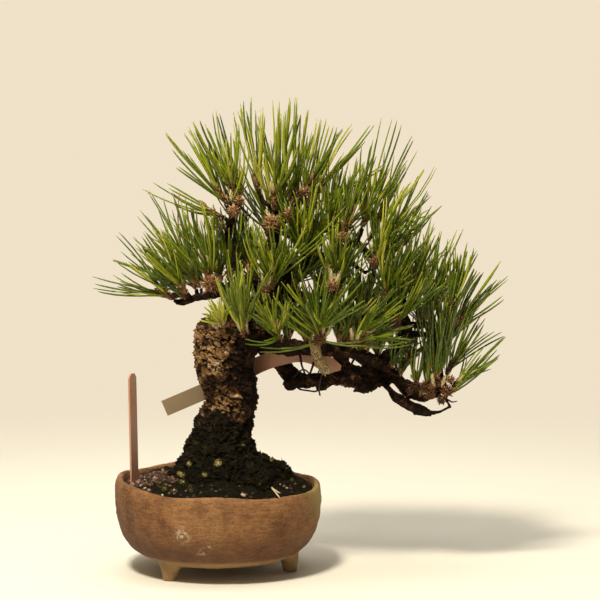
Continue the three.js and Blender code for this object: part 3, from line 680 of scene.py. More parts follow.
def bleach_and_painted_light(mm, trunk):
    """How light the bark is: dark 0, purple-brown 0.35, tan 1. On the trunk this is painted light and shade:
    tan where light falls on its left, its upper left and a band at 119 mm, dark towards its shaded right
    edge and at its top under the crown. The limbs stay dark, partly their own bark and partly painted
    shade under the foliage. A few spots are bleached wood.
    """
    heights, middles, halves = zip(*TRUNK_LINE)
    side = (mm[:, 0] - np.interp(mm[:, 2], heights, middles)) / np.interp(mm[:, 2], heights, halves)
    # painted light on the trunk's left, upper left and a band at 119 mm; painted shade at its right edge and
    # its top under the crown
    left = smoothstep(side, 0.22, -0.12)
    upper = np.exp(-((mm[:, 2] - 160) / 10.5) ** 2) * left
    band = np.exp(-((mm[:, 2] - 119) / 7.5) ** 2) * smoothstep(np.abs(side + 0.1), 0.65, 0.3)
    painted_trunk_light = 0.2 + 0.9 * upper + 0.78 * band + 0.12 * left
    painted_trunk_light *= smoothstep(side, 0.62, 0.3) * smoothstep(mm[:, 2], 190, 172)
    # the limbs and thin wood stay dark: partly their own bark, partly painted shade under the foliage
    light = 0.1 + 0.16 * layered_noise(mm / 8, 95, 3)
    light += trunk * (painted_trunk_light + 0.2 * layered_noise(mm / 4, 97, 2))
    for centre, radius, amount in BLEACHED_WOOD:
        light = np.maximum(light, amount * near_to(mm, centre, radius))
    return np.clip(light, 0, 1)


def bark_plates(mm):
    """The height of ragged plates of two sizes that overlap downwards like shingles, their tint, and
    0 in a few long fissures and 1 beside them."""
    drift = np.stack([layered_noise(mm / 5, seed, 3) for seed in (11, 12, 13)], 1)
    lie = mm + 0.35 * mm[:, :1] * np.array((0.0, 0.0, 1.0))
    near, second, tint, rise = cell_noise((lie + 2.8 * drift) / (9.5, 9.0, 4.6), 21)
    plate = smoothstep(second - near, 0.0, 0.17) * (0.25 + 0.55 * tint - 0.55 * rise)
    near, second, tint_small, rise = cell_noise((lie + 1.5 * drift) / (4.8, 4.4, 2.0), 45)
    scale = smoothstep(second - near, 0.0, 0.24) * (0.3 + 0.5 * tint_small - 0.4 * rise)
    open_bark = smoothstep(np.abs(layered_noise((mm + 2 * drift) / (5, 5, 9), 53, 3)), 0.0, 0.14)
    return 0.68 * plate + 0.32 * scale, 0.45 * tint + 0.4 * tint_small, open_bark


def wood_thickness(mesh):
    """How thick the wood is behind each vertex, in millimetres."""
    tree = surface_tree(mesh)
    thickness = []
    for co, out in zip(vertex_values(mesh, "co"), vertex_values(mesh, "normal")):
        hit = tree.ray_cast(Vector(co - out * RAY_START), Vector(-out), RAY_REACH)
        thickness.append(THICKEST_WOOD if hit[3] is None else hit[3] / MM)
    return np.array(thickness)


def add_knobs(mesh):
    grown = bmesh.new()
    grown.from_mesh(mesh)
    for line in KNOBS:
        points, faces = tube(line, KNOB_SIDES)
        added = [grown.verts.new(point) for point in place(points)]
        for face in faces:
            grown.faces.new([added[index] for index in face])
    grown.to_mesh(mesh)
    grown.free()


def make_wood(material):
    piece = bpy.data.objects.new("living_wood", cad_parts["tree_wood"].data.copy())
    bpy.context.scene.collection.objects.link(piece)
    piece.data.materials.clear()
    piece.data.materials.append(material)
    add_knobs(piece.data)
    mesh = fuse(piece, WOOD_VOXEL, WOOD_RELAXING)
    thickness = wood_thickness(mesh)
    stout = smoothstep(thickness, 3, 24)
    trunk = smoothstep(thickness, 17, 30)
    mm = unplace(vertex_values(mesh, "co"))
    slab, tint, open_bark = bark_plates(mm)
    rough = layered_noise(mm / 2.0, 61, 3)
    push = (0.30 + 3.6 * stout) * (slab - 0.42) + (0.1 + 0.9 * stout) * (open_bark - 0.85)
    push += (0.20 + 0.12 * stout) * rough + (0.55 + 0.9 * stout) * layered_noise(mm / 12, 77, 3)
    push *= 1 - 0.7 * smoothstep(mm[:, 2], 60, 50)
    for centre, reach, depth in SLIM_WOOD:
        push -= depth * near_to(mm, centre, reach) * smoothstep(thickness, 4, 9)
    push_out(mesh, push)
    # moss creeps up from the soil
    climb = 110 + 7 * layered_noise(mm / 16, 91, 3)
    moss = smoothstep(mm[:, 2], climb + 8, climb - 8) * smoothstep(thickness, 6, 14)
    height = np.clip(0.15 + 0.85 * (slab - 0.1) / 0.4, 0, 1) * (0.15 + 0.85 * open_bark)
    tone = np.clip(tint + 0.15 * (rough + 1) / 2, 0, 1)
    colour_attribute(mesh, "bark", np.stack([height, moss, bleach_and_painted_light(mm, trunk), tone], 1))
    return finish_piece(piece, "bark", "tree_wood")


def make_fine_twigs(material):
    sink = Sink()
    for line in FINE_TWIGS:
        # lightness 0.12 keeps the twigs dark: partly their own bark, partly painted shade under the foliage
        sink.add(tube(line), (0.7, 0.0, 0.12, 0.5))
    finish_piece(sink.make("fine_twigs", material, "bark"), "bark")


# ---- needles
NEEDLE_LENGTH = 65.0
LONGEST_NEEDLE = 1.25 * NEEDLE_LENGTH
NEEDLE_WIDTH = 1.40
NEEDLE_DEPTH = 0.9
NEEDLE_SECTION = [(-1.0, 0.0), (-0.62, 0.72), (0.0, 1.0), (0.62, 0.72), (1.0, 0.0)]
NEEDLE_STATIONS = (0.0, 0.12, 0.3, 0.5, 0.7, 0.9, 1.0)
SHEATH_OFFSET = 0.35
SHORTEST_SHOOT = 9.0
SIDE_SHOOTS = 3
FEW_PAIRS = 15
TRIES_PER_PAIR = 6
BOX_MARGIN = 2.0
# the part of a tuft's pairs that is grown, by group
PAIR_SHARE = {"left": 0.42, "crown": 0.28, "right": 0.32, "mid": 0.92, "far": 0.50, "back": 0.85}
# foot of the shoot, middle of the needle tips, half spread in degrees, pairs of needles, tone from
# dark 0 to yellow-green 1, and far tips. The tone is partly painted shade: the tufts at the back are set
# darker.
TUFTS = {
    "left": [
        ((-31, -8, 193), (-76, -12, 223), 24, 22, 0.5, (-87, -8, 205), (-85, -14, 202), (-71, -10, 241)),
        ((-21, -14, 198), (-55, -26, 238), 24, 30, 0.5, (-70, -20, 221)),
        ((-12, -7, 201), (-46, -4, 259), 24, 34, 0.5, (-55, -2, 253), (-49, -4, 270)),
        ((-4, -14, 207), (-19, -22, 260), 26, 34, 0.55),
        ((-16, 14, 198), (-42, 36, 244), 30, 30, 0.4),
        ((2, 10, 204), (-8, 26, 250), 28, 30, 0.4),
        ((3, -5, 251), (-44, -6, 274), 10, 6, 0.6, (-49, -6, 273)),
    ],
    "crown": [
        ((7, -7, 260), (-26, -12, 307), 20, 30, 0.6, (-37, -10, 311), (-22, -8, 313)),
        ((13, 0, 264), (-6, -2, 318), 20, 34, 0.65, (-17, -2, 317), (-2, 0, 324)),
        ((15, 12, 262), (7, 26, 319), 24, 30, 0.5),
        ((28, -2, 271), (23, -4, 330), 14, 24, 0.65, (21, -3, 334)),
        ((40, -10, 255), (36, -22, 312), 24, 32, 0.65),
        ((43, 5, 262), (44, 6, 327), 18, 32, 0.65, (41, 4, 330), (51, 8, 334)),
        ((53, 0, 256), (60, -2, 324), 18, 30, 0.6, (55, 0, 334), (63, -2, 324)),
        ((61, -10, 266), (76, -16, 316), 20, 30, 0.55),
        ((62, 8, 256), (100, 8, 311), 18, 26, 0.6, (108, 8, 314), (94, 6, 313)),
        ((35, 26, 234), (23, 46, 285), 30, 30, 0.4),
        ((55, 28, 235), (55, 50, 288), 30, 30, 0.4),
    ],
    "right": [
        ((79, 0, 240), (90, -2, 292), 22, 32, 0.55, (89, 0, 290)),
        ((88, -12, 241), (101, -18, 297), 22, 32, 0.5),
        ((101, -4, 243), (119, -4, 305), 20, 34, 0.55, (118, -2, 318), (127, -6, 317)),
        ((106, 10, 232), (135, 14, 297), 20, 32, 0.5, (137, 12, 305), (139, 16, 300)),
        ((113, -14, 228), (141, -24, 272), 22, 34, 0.55, (147, -20, 266)),
        ((118, 8, 221), (144, 18, 268), 22, 32, 0.45, (142, 14, 279)),
        ((82, 32, 227), (89, 54, 277), 30, 30, 0.35),
        ((111, 36, 210), (120, 58, 259), 30, 30, 0.35),
        ((110, -24, 217), (125, -44, 262), 26, 30, 0.45),
    ],
    "mid": [
        ((70, -30, 169), (73, -52, 218), 38, 34, 0.5, (47, -44, 208), (102, -44, 217)),
        ((97, -26, 166), (128, -46, 195), 24, 17, 0.36, (137, -36, 167)),
        ((19, -30, 172), (14, -42, 223), 24, 24, 0.55, (11, -38, 230)),
        ((6, -28, 176), (-6, -38, 196), 30, 20, 0.85),
        ((38, -26, 202), (44, -44, 253), 30, 30, 0.5, (89, -40, 258)),
        ((43, -30, 168), (36, -54, 203), 32, 18, 0.5),
        ((83, -22, 202), (92, -36, 251), 30, 32, 0.45),
        ((59, -16, 226), (51, -30, 274), 28, 30, 0.5),
        ((118, -20, 197), (129, -38, 243), 26, 32, 0.4),
        ((125, -16, 178), (141, -34, 222), 26, 32, 0.35),
    ],
    "far": [
        ((131, 0, 193), (146, 0, 246), 20, 34, 0.5, (144, 0, 251), (151, 2, 248)),
        ((146, -3, 178), (163, 0, 237), 20, 34, 0.5, (157, 0, 243), (170, 2, 241)),
        ((153, -11, 137), (155, -16, 199), 13, 70, 0.27),
        ((161, 2, 138), (183, 4, 184), 20, 16, 0.4, (187, 2, 180), (193, -2, 170)),
        ((162, -9, 127), (195, -14, 160), 16, 16, 0.5, (201, -12, 167), (197, -16, 154)),
        ((167, 6, 172), (197, 8, 210), 17, 14, 0.45, (199, 6, 218), (205, 4, 208), (185, 2, 194)),
        ((162, -10, 182), (172, -16, 233), 16, 40, 0.42, (175, -12, 230)),
        ((142, 26, 168), (153, 46, 215), 28, 32, 0.35),
    ],
    "back": [
        ((16, 28, 208), (2, 46, 251), 30, 30, 0.4),
        ((45, 38, 191), (34, 66, 230), 34, 30, 0.35),
        ((74, 44, 187), (78, 68, 229), 34, 30, 0.35),
        ((102, 40, 178), (114, 66, 217), 34, 30, 0.35),
        ((158, 20, 153), (174, 40, 195), 28, 30, 0.35),
    ],
}
# dark growth inside the crown and over the limbs, written alike; its dark tone is painted shade inside the
# crown
INNER_TUFTS = [
    ((128, 5, 135), (137, 12, 168), 26, 12, 0.2),
    ((140, 2, 130), (144, 10, 166), 20, 10, 0.2),
    ((112, 4, 150), (118, 12, 192), 30, 13, 0.2),
    ((62, -7, 162), (58, -8, 208), 32, 13, 0.3),
    ((85, -6, 161), (86, -2, 206), 34, 14, 0.25),
    ((35, 12, 192), (30, 16, 236), 30, 12, 0.2),
    ((66, 2, 221), (66, 10, 264), 28, 12, 0.25),
    ((52, -4, 200), (72, -10, 238), 32, 12, 0.3),
    ((22, -6, 210), (24, -8, 250), 24, 9, 0.35),
    ((100, -3, 156), (108, -10, 198), 30, 13, 0.25),
    ((33, -10, 176), (34, -22, 212), 34, 9, 0.35),
    ((74, -6, 161), (72, 6, 208), 28, 13, 0.15),
    ((50, -8, 161), (50, 4, 204), 28, 13, 0.2),
    ((82, 1, 223), (84, 10, 266), 28, 12, 0.2),
    ((94, -3, 157), (96, 12, 200), 28, 13, 0.15),
    ((46, 3, 208), (38, 12, 250), 28, 11, 0.2),
    ((104, -1, 152), (112, -8, 190), 24, 9, 0.3),
    ((150, -3, 127), (152, 2, 170), 16, 10, 0.2),
    ((122, 4, 142), (128, 8, 182), 30, 14, 0.1),
    ((133, 4, 150), (133, 12, 188), 26, 12, 0.1),
    ((12, 3, 222), (10, 10, 262), 26, 11, 0.25),
    ((8, 1, 205), (20, 2, 246), 24, 10, 0.25),
    ((102, -1, 153), (108, 4, 214), 22, 15, 0.2),
    ((91, -4, 157), (90, 2, 218), 24, 13, 0.2),
    ((122, 7, 155), (122, 8, 214), 22, 14, 0.15),
    ((90, 0, 230), (86, 4, 284), 24, 10, 0.35),
    ((68, 2, 220), (76, 6, 272), 22, 10, 0.3),
    ((130, 8, 165), (130, 10, 222), 20, 12, 0.2),
    ((64, -8, 159), (70, 2, 214), 24, 12, 0.15),
    ((10, 0, 249), (3, 6, 304), 26, 8, 0.45),
    ((40, 1, 240), (20, 6, 300), 24, 9, 0.45),
    ((45, -2, 249), (52, 6, 308), 22, 8, 0.45),
    ((-6, -10, 197), (-18, 0, 248), 26, 9, 0.3),
    ((-22, -9, 193), (-44, 4, 240), 26, 8, 0.35),
]


class Shoot:
    """A straight stretch of wood that needles or scales stand on, with its cross directions."""

    def __init__(self, foot, axis, length):
        self.foot = np.asarray(foot, float)
        self.axis = unit(np.asarray(axis, float))
        self.length = length
        self.across = unit(np.cross((0, 1, 0), self.axis))
        self.other = np.cross(self.axis, self.across)

    def outward(self, turn):
        return math.cos(turn) * self.across + math.sin(turn) * self.other

    def winding(self, count):
        """Outward directions that wind round the shoot, with their numbers."""
        return [(index, self.outward(GOLDEN_ANGLE * index)) for index in range(count)]

    def at(self, share, outward, stand_off):
        return self.foot + self.axis * self.length * share + outward * stand_off


class Tuft:
    """A main shoot with a few short side shoots, and how its needles spread from them."""

    def __init__(self, row, pair_share, draw):
        foot, aim, spread, pairs, self.tone, *far_tips = row
        run = np.subtract(aim, foot)
        self.far_tips = [np.array(tip, float) for tip in far_tips]
        self.spread = math.radians(1.10 * spread)
        self.pairs = round(pairs * pair_share)
        self.reach = np.linalg.norm(run)
        self.draw = draw
        self.main = Shoot(foot, run, max(SHORTEST_SHOOT, self.reach - NEEDLE_LENGTH, 0.25 * self.reach))
        self.shoots = [self.main]
        for index in range(SIDE_SHOOTS if pairs > FEW_PAIRS else 1):
            outward = self.main.outward(GOLDEN_ANGLE * (index + 1) + draw.uniform(-0.4, 0.4))
            start = self.main.at(draw.uniform(0.0, 0.5), outward, 0)
            lean = self.main.axis + outward * draw.uniform(0.5, 1.0)
            self.shoots.append(Shoot(start, lean, draw.uniform(5, 9)))


def needle_body(root, bend, tip, face, width):
    """One half-round needle along a bent line, with its flat side towards face."""
    points = []
    for t in NEEDLE_STATIONS:
        centre = (1 - t) ** 2 * root + 2 * t * (1 - t) * bend + t ** 2 * tip
        tangent = unit((1 - t) * (bend - root) + t * (tip - bend))
        across = unit(np.cross(tangent, face))
        up = np.cross(across, tangent)
        taper = min(0.7 + 2.5 * t, 1) * (1 - 0.88 * max(t - 0.82, 0) / 0.18) ** 0.6
        for u, v in NEEDLE_SECTION:
            points.append(centre + taper * (across * u * 0.5 * width + up * (v - 0.4) * NEEDLE_DEPTH))
    return points, ring_faces(len(NEEDLE_STATIONS), len(NEEDLE_SECTION))


def add_needle(sink, root, bend, tip, face, tone, dead=0.0, width=NEEDLE_WIDTH):
    colours = [(t, tone, dead, 1.0) for t in NEEDLE_STATIONS for _ in NEEDLE_SECTION]
    sink.add(needle_body(root, bend, tip, face, width), colours)


def blocked(root, tip, wood_tree):
    """Whether wood stands in a needle's way."""
    run = tip - root
    length = np.linalg.norm(run)
    start = place(root + run / length * 5)
    return wood_tree.ray_cast(Vector(start), Vector(run / length), (length - 6) * MM)[0] is not None


def inside_box(root, tip):
    """The tip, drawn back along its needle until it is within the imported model's box."""
    low, high = (unplace(np.array(corner)) for corner in cad_bounds)
    run = tip - root
    while np.any(tip < low - BOX_MARGIN) or np.any(tip > high + BOX_MARGIN):
        run = run * 0.96
        tip = root + run
    return tip


def add_pair(sink, draw, root, tip, outward, tone, straight=1.0):
    """Two needles from one sheath, bowed alike, their tips a little apart."""
    run = tip - root
    length = np.linalg.norm(run)
    run = run / length
    side = unit(np.cross(run, outward + 0.01))
    turn = draw.uniform(0, math.pi)
    side = math.cos(turn) * side + math.sin(turn) * np.cross(run, side)
    bow = draw.uniform(0.0, 0.15) * length * outward * straight
    bow = bow + draw.gauss(0, 0.05) * length * side
    gap = draw.uniform(0.01, 0.09) * length
    for sign in (-1, 1):
        end = inside_box(root, tip + sign * side * gap + draw.uniform(-4, 2) * run)
        bend = root + draw.uniform(0.4, 0.6) * (end - root) + bow + sign * side * gap * 0.2
        shade = float(np.clip(tone + draw.uniform(-0.16, 0.16), 0, 1))
        add_needle(sink, root + sign * side * SHEATH_OFFSET, bend, end, -sign * side, shade)


def tone_near(draw, tone):
    return float(np.clip(draw.gauss(tone, 0.22), 0, 1))


def aimed_pair(tuft, index):
    """Root, tip and side of a pair. The tips spread evenly over the tuft's cap, and a few stray out
    of it or stop short. The roots are all along the shoots, on any side, so that needles cross."""
    main, draw = tuft.main, tuft.draw
    share = math.sqrt((index + 0.5) / tuft.pairs)
    stray = draw.uniform(1.1, 1.75) if draw.random() < 0.34 else 1.0
    lean = tuft.spread * share * draw.uniform(0.65, 1.12) * stray
    turn = GOLDEN_ANGLE * index + draw.uniform(-0.6, 0.6)
    distance = tuft.reach * (1.04 - 0.42 * draw.random() ** 1.3)
    tip = main.foot + (math.cos(lean) * main.axis + math.sin(lean) * main.outward(turn)) * distance
    shoot = draw.choice(tuft.shoots)
    stand = shoot.outward(turn + draw.gauss(0, 0.9))
    return shoot.at(draw.uniform(0.0, 0.95), stand, 0.7), tip, stand


def add_foliage(sink, tuft, wood_tree):
    """A tuft's pairs of needles: those to its far tips, then the others over its whole spread."""
    main, draw = tuft.main, tuft.draw
    for tip in tuft.far_tips:
        root = main.at(draw.uniform(0.5, 0.95), main.across, 0)
        outward = tip - root
        outward = unit(outward - main.axis * outward.dot(main.axis))
        tone = np.clip(tuft.tone + draw.uniform(-0.2, 0.2), 0, 1)
        add_pair(sink, draw, root, tip + unit(tip - root), outward, tone, 0.4)
    for index in range(tuft.pairs):
        for _ in range(TRIES_PER_PAIR):
            root, tip, stand = aimed_pair(tuft, index)
            length = np.linalg.norm(tip - root)
            if length > LONGEST_NEEDLE:
                tip = root + (tip - root) * LONGEST_NEEDLE / length
            if length > 0.4 * min(tuft.reach, NEEDLE_LENGTH) and not blocked(root, tip, wood_tree):
                add_pair(sink, draw, root, tip, stand, tone_near(draw, tuft.tone))
                break


# ---- shoots, bracts and candles
STUB_SCALES = 90
CANDLE_SCALES = 14
# clusters of old bracts: middle, radius and tone from red-brown 0 to straw 1
BRACT_CLUSTERS = [
    ((-3.6, -25, 204.8), 8.5, 0.5), ((38.2, -30, 248), 7, 0.8), ((49.4, -27, 253.5), 5.5, 0.65),
    ((61.2, -20, 269), 4, 0.45), ((87, -34, 239), 4.4, 0.5), ((110.2, -30, 221.5), 4.6, 0.35),
    ((12, -24, 256), 5, 0.7), ((16, -22, 263), 4, 0.6), ((80, -38, 206), 5, 0.85),
    ((33, -34, 203), 4.6, 0.8), ((70.2, -30, 166.9), 5.4, 0.3), ((95.9, -28, 164.8), 4, 0.75),
    ((103.6, -26, 163.2), 3, 0.7), ((124.2, -16, 175.8), 5.4, 0.1), ((31.3, -24, 181.8), 4.6, 0.3),
    ((3.2, -9, 245.3), 2.8, 0.3), ((-30, -8, 195.3), 3.4, 0.2), ((19, -29, 172), 3.6, 0.45),
    ((43, -29, 168), 3.6, 0.35), ((6, -27, 177), 3.2, 0.5), ((118, -19, 198), 3.6, 0.25),
    ((84, -21, 203), 4, 0.35), ((62, -16, 226), 3.6, 0.3), ((139, -4, 131.5), 4.2, 0.2),
    ((145.5, -5, 131), 4.4, 0.3), ((150.5, -8, 128.5), 4.6, 0.35), ((155.5, -9, 134), 5.2, 0.45),
    ((160.5, -11, 128), 5.2, 0.35), ((157, -10, 122), 3.6, 0.2), ((163.5, -11, 136.5), 3.4, 0.6),
    ((135, -7, 128), 3, 0.15), ((148, -6, 124.5), 3.2, 0.25),
]
# pale candles of new growth: foot, tip
CANDLES = [
    ((72, -30, 168), (76, -32, 181)), ((74, -29, 167), (81, -30, 179)), ((82.6, -32, 204), (82, -34, 215)),
    ((78.5, -32, 208), (77, -34, 220)), ((68, -31, 170), (66, -33, 180)), ((94.5, -30, 166), (93, -31, 176)),
    ((157, -12, 131), (160, -14, 141)), ((151.7, -13, 132), (150, -15, 142)),
    ((108, -12, 224), (107, -14, 233)), ((10.3, -10, 261), (9, -11, 271)), ((38, -30, 250), (34, -31, 258)),
    ((97, -29, 166), (101, -31, 174)), ((80, -38, 206), (79, -41, 218)), ((82, -38, 206), (86, -41, 217)),
    ((33, -34, 204), (31, -37, 214)), ((35, -34, 204), (38, -37, 213)), ((21, -30, 172), (20, -32, 186)),
    ((17, -30, 172), (13, -33, 185)), ((3, -28, 175), (-2, -31, 187)), ((5, -28, 176), (6, -32, 189)),
    ((1, -27, 174), (-8, -30, 184)),
]
# the lichen-covered stub that hangs before the strip label, in two stretches
LICHEN_STUB = [((67.5, -27, 166), (69.5, -23, 154)), ((69.5, -23, 154), (76, -15, 143))]
# single needles that show on their own: root, bend, tip, tone, and 1 where it is dead
FREE_NEEDLES = [
    ((70, -32, 166), (52, -38, 159), (30, -35, 161), 0.42, 0),
    ((95.9, -31, 164), (118, -38, 160), (137, -34, 167), 0.35, 0),
    ((68, -32, 166), (54, -38, 176), (38, -38, 187), 0.45, 0),
    ((44, -30, 168), (34, -38, 163), (20, -37, 167), 0.35, 0),
    ((30, -24, 182), (22, -36, 186), (15, -40, 192), 0.45, 0),
    ((72, -31, 167), (88, -38, 163), (103, -37, 166), 0.45, 0),
    ((-20, -8, 215), (-31, -11, 243), (-26, -11, 268), 0.3, 1),
    ((89, -13, 243), (95, -18, 250), (96, -19, 262), 0.5, 1),
    ((38, -49, 67), (40, -53, 65.5), (44, -57, 62.5), 0.8, 1),
]


def scale_colour(tone, kind=0.0):
    """Tone from red-brown 0 to straw 1, and kind from old wood 0 to a candle 1."""
    return 0.0, tone, kind, 1.0


def bract(root, direction, outward, length, width):
    """A thin pointed scale that stands off the shoot."""
    side = unit(np.cross(direction, outward)) * width
    thick = 0.22 * outward
    tip = root + direction * length + outward * 0.35 * length
    middle = root + direction * 0.45 * length + outward * 0.08 * length
    vertices = [root - side * 0.4, root + side * 0.4, middle + side * 0.5 + thick,
                middle - side * 0.5 + thick, tip, root + thick * 2.2, middle + thick * 2.6]
    faces = [(0, 1, 2, 3), (3, 2, 4), (1, 0, 5), (0, 3, 6, 5), (2, 1, 5, 6), (3, 4, 6), (4, 2, 6)]
    return vertices, faces


def add_scaly_shoot(sink, draw, shoot, radius, scales):
    core = spindle(shoot.foot - shoot.axis * 0.6, shoot.axis, shoot.length * 1.06, radius, 10, 8, 0.55)
    sink.add(core, scale_colour(0.25))
    for index, outward in shoot.winding(scales):
        root = shoot.at((index + 0.5) / scales, outward, 0.75 * radius)
        body = bract(root, shoot.axis, outward, draw.uniform(2.2, 4.4), draw.uniform(1.0, 1.7))
        sink.add(body, scale_colour(draw.uniform(0.15, 0.95)))


def add_main_and_side_shoots(sink, tuft):
    """The scaly shoots of one tuft, with one to three buds at the main shoot's tip."""
    main, draw = tuft.main, tuft.draw
    add_scaly_shoot(sink, draw, main, 1.6, int(12 + 1.2 * main.length))
    for shoot in tuft.shoots[1:]:
        add_scaly_shoot(sink, draw, shoot, 1.0, 6)
    for _ in range(draw.choice((1, 2, 3))):
        outward = main.outward(draw.uniform(0, FULL_TURN))
        root = main.foot + main.axis * (main.length - 1.5) + outward * 1.2
        direction = main.axis + draw.uniform(0.0, 0.35) * outward
        bud = spindle(root, direction, draw.uniform(6, 11), draw.uniform(1.2, 1.8), 9, 7, 0.8)
        sink.add(bud, scale_colour(draw.uniform(0.2, 0.9), draw.choice((0.25, 0.7, 1.0))))


def make_tufts(needles, scales, wood_tree):
    """Each tuft stands for its solid with one piece of needles, and has one of shoots."""
    tufts = [(f"{group}_{number}", PAIR_SHARE[group], row) for group, rows in TUFTS.items()
             for number, row in enumerate(rows, 1)]
    for index, (name, pair_share, row) in enumerate(tufts):
        tuft = Tuft(row, pair_share, random.Random(5000 + 17 * index))
        green, brown = Sink(), Sink()
        add_foliage(green, tuft, wood_tree)
        add_main_and_side_shoots(brown, tuft)
        finish_piece(green.make(f"foliage_{name}", needles, "needle"), "needles", f"needles_{name}")
        finish_piece(brown.make(f"shoot_{name}", scales, "needle"), "bark")


def make_inner_growth(needles, scales, wood_tree):
    green, brown = Sink(), Sink()
    for index, row in enumerate(INNER_TUFTS):
        tuft = Tuft(row, 1.0, random.Random(8100 + index))
        add_foliage(green, tuft, wood_tree)
        for shoot in tuft.shoots:
            add_scaly_shoot(brown, tuft.draw, shoot, 1.6, 12)
    finish_piece(green.make("inner_needles", needles, "needle"), "needles")
    finish_piece(brown.make("inner_shoots", scales, "needle"), "bark")


def add_bract_cluster(sink, draw, centre, radius, tone):
    centre = np.array(centre, float)
    core = spindle(centre - (0, 0, 0.6 * radius), (0.1, -0.1, 1), 1.3 * radius, 0.55 * radius)
    sink.add(core, scale_colour(0.3 * tone))
    count = int(26 + 9 * radius)
    for index in range(count):
        up = 1 - 2 * (index + 0.5) / count
        level = math.sqrt(1 - up * up)
        turn = GOLDEN_ANGLE * index
        outward = np.array([level * math.cos(turn), level * math.sin(turn), up])
        lean = unit(outward + (0, 0, 0.7) + np.array([draw.uniform(-0.4, 0.4) for _ in range(3)]))
        side = unit(outward - lean * outward.dot(lean) + 1e-3)
        length = radius * draw.uniform(0.55, 0.95)
        body = bract(centre + outward * 0.35 * radius, lean, side, length, draw.uniform(1.1, 2.0))
        sink.add(body, scale_colour(tone_near(draw, tone)))


def shoot_between(foot, tip):
    run = np.subtract(tip, foot)
    return Shoot(foot, run, np.linalg.norm(run))


def add_stub(sink, draw, stub):
    core = spindle(stub.foot - stub.axis, stub.axis, stub.length + 3, 3.7, 12, 9, 0.6)
    sink.add(core, scale_colour(0.3, 0.45))
    for index, outward in stub.winding(STUB_SCALES):
        root = stub.at(index / STUB_SCALES, outward, 2.9)
        body = bract(root, stub.axis, outward, draw.uniform(1.4, 2.8), 1.6)
        sink.add(body, scale_colour(draw.uniform(0.0, 1.0), draw.uniform(0.4, 1.0)))


def add_candle(sink, draw, candle):
    core = spindle(candle.foot, candle.axis, candle.length, 1.25, 9, 8, 0.9)
    sink.add(core, scale_colour(0.7, 1.0))
    for index, outward in candle.winding(CANDLE_SCALES):
        body = bract(candle.at(0.05 + index / 17, outward, 0.8), candle.axis, outward, 2.4, 0.8)
        sink.add(body, scale_colour(draw.uniform(0.3, 1.0), 0.9))


def add_free_pair(sink, root, bend, tip, tone, dead):
    width = 0.5 * NEEDLE_WIDTH if dead else NEEDLE_WIDTH
    for sign in (-1, 1):
        apart = sign * np.array([0, 0.4, 0.5])
        add_needle(sink, np.array(root), bend + apart, tip + 3 * apart, -apart, tone, dead, width)


def make_small_growth(needles, scales):
    """Old bract clusters, the stub, candles and the needles that stand alone."""
    draw = random.Random(61)
    green, brown = Sink(), Sink()
    for cluster in BRACT_CLUSTERS:
        add_bract_cluster(brown, draw, *cluster)
    for ends in LICHEN_STUB:
        add_stub(brown, draw, shoot_between(*ends))
    for ends in CANDLES:
        add_candle(brown, draw, shoot_between(*ends))
    for needle in FREE_NEEDLES:
        add_free_pair(green, *needle)
    finish_piece(brown.make("bracts_and_candles", scales, "needle"), "bark")
    finish_piece(green.make("single_needles", needles, "needle"), "needles")


# ---- soil and moss
SOIL_TOP = [(0, 66), (40, 65), (54, 61.8), (61, 59.3), (66.2, 57.5)]
SOIL_PEAK = 66.0
SOIL_UNDERSIDE = 50.0
SOIL_WALL_RADIUS = 66.2
SOIL_RINGS = 62
SOIL_SEGMENTS = 260
GRANULE_TRIES = 5200
MOST_GRANULES = 1500
# a few in the moss at the front: X, Y, radius
WHITE_GRANULES = [(18.5, -51, 1.9), (-20, -58, 1.2), (36, -50, 1.0), (-37, -47, 1.1)]
# yellow-green moss cushions and grey lichen on the front: X, Z, radius, blades, tone
PALE_MOSS = [
    (0.5, 80, 5.2, 220, 1.0), (-25.9, 70, 5.2, 220, 1.0), (-20, 78.5, 3.2, 80, 0.95),
    (-8.7, 73, 3.6, 90, 0.95), (37.5, 78, 3.0, 60, 0.88), (47.9, 72.2, 2.4, 40, 0.82),
    (17.9, 92, 2.6, 50, 0.88), (12.6, 77.2, 1.8, 30, 0.8), (-35.9, 64.9, 4.4, 130, 0.84),
    (-30.9, 62.8, 4.6, 130, 0.8), (-18.2, 64.9, 4.6, 110, 0.78), (-40.2, 66.6, 2.8, 60, 0.86),
    (-24, 67.4, 2.8, 60, 0.9), (16.6, 106, 2.2, 30, 0.75), (20, 84, 2.4, 30, 0.74),
    (-15.9, 92.6, 3.4, 50, 0.74), (-8, 90, 4.0, 50, 0.7), (52, 64, 2.6, 40, 0.78), (30, 66, 2.6, 30, 0.75),
]


def moss_share(x, y):
    """1 where moss covers the soil, 0 on the bare left side."""
    left = np.cos(np.arctan2(y, x) - math.radians(175)) * (np.hypot(x, y) > 20)
    points = np.stack([x / 9, y / 9, np.zeros_like(x)], 1)
    return smoothstep(0.45 * layered_noise(points, 133, 3) - 1.5 * (left - 0.74), -0.1, 0.12)


def soil_height(x, y):
    """Height of the soil's top over the foot plane before the bowl's hand shaping."""
    radii, heights = zip(*SOIL_TOP)
    radius = np.hypot(x, y)
    return np.interp(radius, radii, heights) - 2.2 * (1 - moss_share(x, y)) * smoothstep(radius, 62, 50)


def soil_point(x, y):
    """A point on the soil's top as it lies in the shaped bowl."""
    x, y = np.array([x], float), np.array([y], float)
    return shape_by_hand(np.stack([x, y, soil_height(x, y)], 1))[0]


